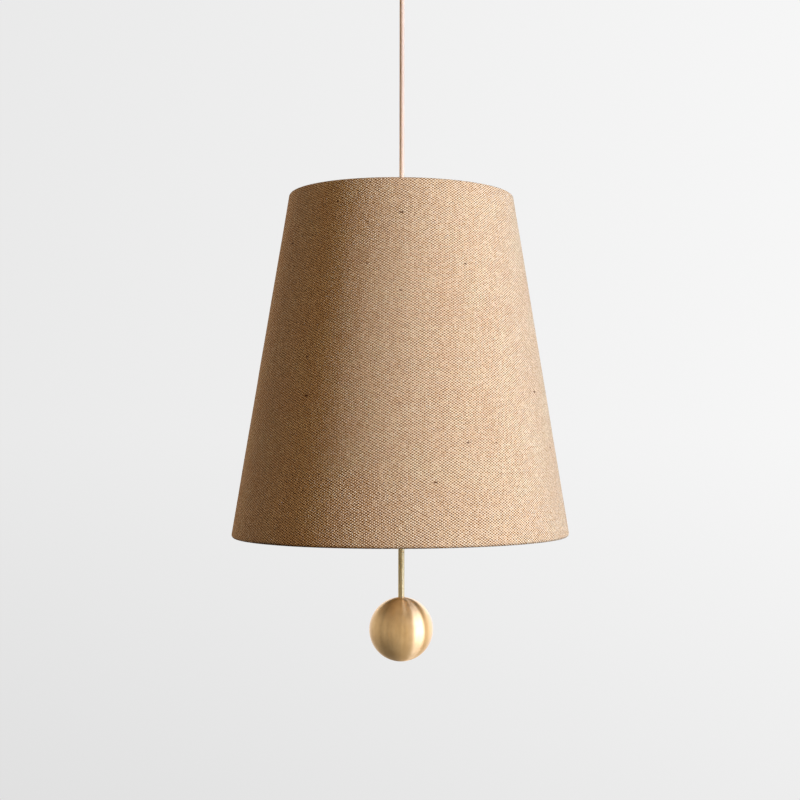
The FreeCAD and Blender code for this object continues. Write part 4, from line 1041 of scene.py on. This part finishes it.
class PENDANT_OT_ball(bpy.types.Operator):
    """Make the satin brass ball and its rod"""

    bl_idname = "pendant.ball"
    bl_label = "Ball and rod"

    def execute(self, context):
        low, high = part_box("ball_shell")
        radius = sizes().ball / 2
        centre = low.z + radius
        seat = math.acos((high.z - centre) / radius)
        seat_step = 0.0002
        section = arc((0.0, centre), radius, -math.pi / 2, math.pi - seat, 96)
        section += [(radius * math.sin(seat) - seat_step, high.z), (0.0, high.z)]
        turned_part("ball_shell", "turned_ball", section, finish_for("satin_brass"), 160, angle=30)
        foot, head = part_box("hanger_rod")
        rod = sizes().rod / 2
        thread_step = 0.00025
        thread = rod - thread_step
        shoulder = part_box("hub_lower")[0].z
        corners = [(0.0, foot.z), (thread, foot.z), (thread, high.z), (rod, high.z), (rod, shoulder),
                   (thread, shoulder), (thread, head.z), (0.0, head.z)]
        section = eased(corners, sizes().ease, closed=False)
        turned_part("hanger_rod", "turned_rod", section, finish_for("drawn_brass"), 48)
        return {"FINISHED"}


class PENDANT_OT_canopy(bpy.types.Operator):
    """Make the spun canopy and its two knurled side screws"""

    bl_idname = "pendant.canopy"
    bl_label = "Canopy"

    def execute(self, context):
        low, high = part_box("canopy_cup")
        wall = sizes().canopy_wall
        edge = sizes().canopy_edge
        outer = high.y
        # The bush's nut reaches past the hole
        hole_share = 0.6
        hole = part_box("bush_nut")[1].x * hole_share
        turn_in = (outer - edge, low.z + edge)
        section = [(outer - wall, high.z), (outer, high.z)]
        section += arc(turn_in, edge, 0.0, -math.pi / 2, 12)
        section += [(hole, low.z), (hole, low.z + wall)]
        section += arc(turn_in, edge - wall, -math.pi / 2, math.pi / 2, 12)
        section.append(section[0])
        turned_part("canopy_cup", "spun_canopy", section, finish_for("satin_brass"), 160, angle=50)
        self.screws(outer)
        return {"FINISHED"}

    def screws(self, outer):
        """Two knurled thumb screws, turned along Z and laid along X on either side."""
        low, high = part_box("canopy_screws")
        drop = (low.z + high.z) / 2
        head = (high.z - low.z) / 2
        shank = head / 2
        shank_length = 0.0072
        tip = outer - shank_length
        # The head is a little narrower than its knurls
        rim = 0.93 * head
        ridges = 26
        ridge_tip = 0.00025
        ridge_circle = 0.96 * head - ridge_tip
        ridge_length = 0.8 * (high.x - outer)
        finish = finish_of("canopy_screws")
        corners = [(0.0, tip), (shank, tip), (shank, outer), (rim, outer), (rim, high.x), (0.0, high.x)]
        section = eased(corners, sizes().ease, closed=False)
        whole = bmesh.new()
        for azimuth in (0.0, math.pi):
            screw = turned_piece("knurled_screws", section, finish, segments=40)
            give_nodes(screw, bpy.data.node_groups["knurled_head"], {
                "Ridges": ridges, "Radius": ridge_circle, "Length": ridge_length,
                "Middle": (outer + high.x) / 2, "Finish": finish})
            make_plain(screw)
            turn = Matrix.Rotation(azimuth, 4, "Z") @ Matrix.Rotation(math.pi / 2, 4, "Y")
            screw.data.transform(Matrix.Translation((0.0, 0.0, drop)) @ turn)
            whole.from_mesh(screw.data)
            bpy.data.objects.remove(screw)
        mesh = bpy.data.meshes.new("knurled_screws")
        whole.to_mesh(mesh)
        whole.free()
        mesh.materials.append(finish)
        smooth_faces(mesh)
        finish_piece(new_piece("knurled_screws", mesh), "canopy_screws")


class PENDANT_OT_stem(bpy.types.Operator):
    """Make the threaded stem"""

    bl_idname = "pendant.stem"
    bl_label = "Stem"

    def execute(self, context):
        low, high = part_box("stem_tube")
        outer = high.y
        bore = sizes().thread_bore / 2
        pitch = sizes().thread_pitch
        thread_depth = 0.4 * pitch
        overlap = 0.02 * pitch
        core = outer - thread_depth
        finish = finish_of("stem_tube")
        corners = [(bore, low.z), (core, low.z), (core, high.z), (bore, high.z)]
        stem = turned_piece("threaded_stem", eased(corners, sizes().ease), finish, segments=48)
        give_nodes(stem, bpy.data.node_groups["thread_ridge"], {
            "Radius": core - overlap, "Pitch": pitch, "Length": high.z - low.z - pitch,
            "Base": low.z + pitch / 2, "Finish": finish})
        smooth_faces(make_plain(stem).data, 35)
        finish_piece(stem, "stem_tube")
        return {"FINISHED"}


class PENDANT_OT_lamps(bpy.types.Operator):
    """Make the three lamp cups and the bulbs' opal envelopes"""

    bl_idname = "pendant.lamps"
    bl_label = "Lamps"

    def execute(self, context):
        for number, azimuth in enumerate(LAMP_AZIMUTHS, 1):
            self.cup(number, azimuth)
            self.envelope(number, azimuth)
        return {"FINISHED"}

    def cup(self, number, azimuth):
        """Drawn cup with a soft base edge and a rolled lip."""
        node = f"lamp_cup_{number}"
        low, high, radius = lamp_reach(node, azimuth)
        wall = sizes().cup_wall
        base_share = 1.5
        hole_share = 0.45
        base = low + base_share * wall
        hole = hole_share * radius
        corners = [(hole, low), (radius, low), (radius, high), (radius - wall, high), (radius - wall, base),
                   (hole, base)]
        section = eased(corners, 3 * sizes().ease)
        turned_part(node, f"drawn_cup_{number}", section, finish_of(node), 64, place=lamp_axis(azimuth))

    def envelope(self, number, azimuth):
        """Opal capsule with a round end."""
        node = f"bulb_envelope_{number}"
        low, high, radius = lamp_reach(node, azimuth)
        inner = radius - sizes().bulb_glass
        dome = (0.0, high - radius)
        section = [(inner, low), (radius, low)]
        section += arc(dome, radius, 0.0, math.pi / 2, 16)
        section += arc(dome, inner, math.pi / 2, -math.pi / 2, 16)
        section.append(section[0])
        turned_part(node, f"opal_envelope_{number}", section, finish_of(node), 48, place=lamp_axis(azimuth))


class PENDANT_OT_fittings(bpy.types.Operator):
    """Ease the edges of the other fittings and finish the CAD pieces that stay as they are"""

    bl_idname = "pendant.fittings"
    bl_label = "Fittings"

    FINE = ("mounting_strap", "terminal_screws", "terminal_fixing_screw", "cord_bush", "bush_nut",
            "cord_stop", "stop_screw", "cord_grip", "grip_screw", "stem_nuts", "spider", "hub_upper",
            "hub_lower", "arm_collars", "retaining_rings", "lampholder_1", "lampholder_2", "lampholder_3",
            "bulb_base_1", "bulb_base_2", "bulb_base_3")

    def execute(self, context):
        for node in self.FINE:
            eased_copy(node, finish_of(node), sizes().ease / 2)
        for node, piece in frame["nodes"].items():
            for slot in piece.material_slots:
                slot.material = finish_of(node)
        return {"FINISHED"}


class PENDANT_PT_panel(bpy.types.Panel):
    """Sizes, colours and steps of the pendant light"""

    bl_idname = "PENDANT_PT_panel"
    bl_label = "Pendant"
    bl_space_type = "VIEW_3D"
    bl_region_type = "UI"
    bl_category = "Pendant"

    def draw(self, context):
        for group in (sizes(), colours()):
            box = self.layout.box()
            for name in group.__annotations__:
                box.prop(group, name)
        for step in STEPS:
            self.layout.operator(step.bl_idname)


STEPS = (PENDANT_OT_stage, PENDANT_OT_finishes, PENDANT_OT_cord, PENDANT_OT_shade, PENDANT_OT_ball,
         PENDANT_OT_canopy, PENDANT_OT_stem, PENDANT_OT_lamps, PENDANT_OT_fittings)
CLASSES = (PendantSizes, PendantColours, *STEPS, PENDANT_PT_panel)


def register():
    for each in CLASSES:
        bpy.utils.register_class(each)
    bpy.types.Scene.pendant_sizes = PointerProperty(type=PendantSizes)
    bpy.types.Scene.pendant_colours = PointerProperty(type=PendantColours)


def unregister():
    del bpy.types.Scene.pendant_colours
    del bpy.types.Scene.pendant_sizes
    for each in reversed(CLASSES):
        bpy.utils.unregister_class(each)


def main():
    """Make the whole light."""
    register()
    bpy.ops.pendant.stage()
    bpy.ops.pendant.finishes()
    bpy.ops.pendant.cord()
    bpy.ops.pendant.shade()
    bpy.ops.pendant.ball()
    bpy.ops.pendant.canopy()
    bpy.ops.pendant.stem()
    bpy.ops.pendant.lamps()
    bpy.ops.pendant.fittings()


if __name__ == "__main__":
    main()
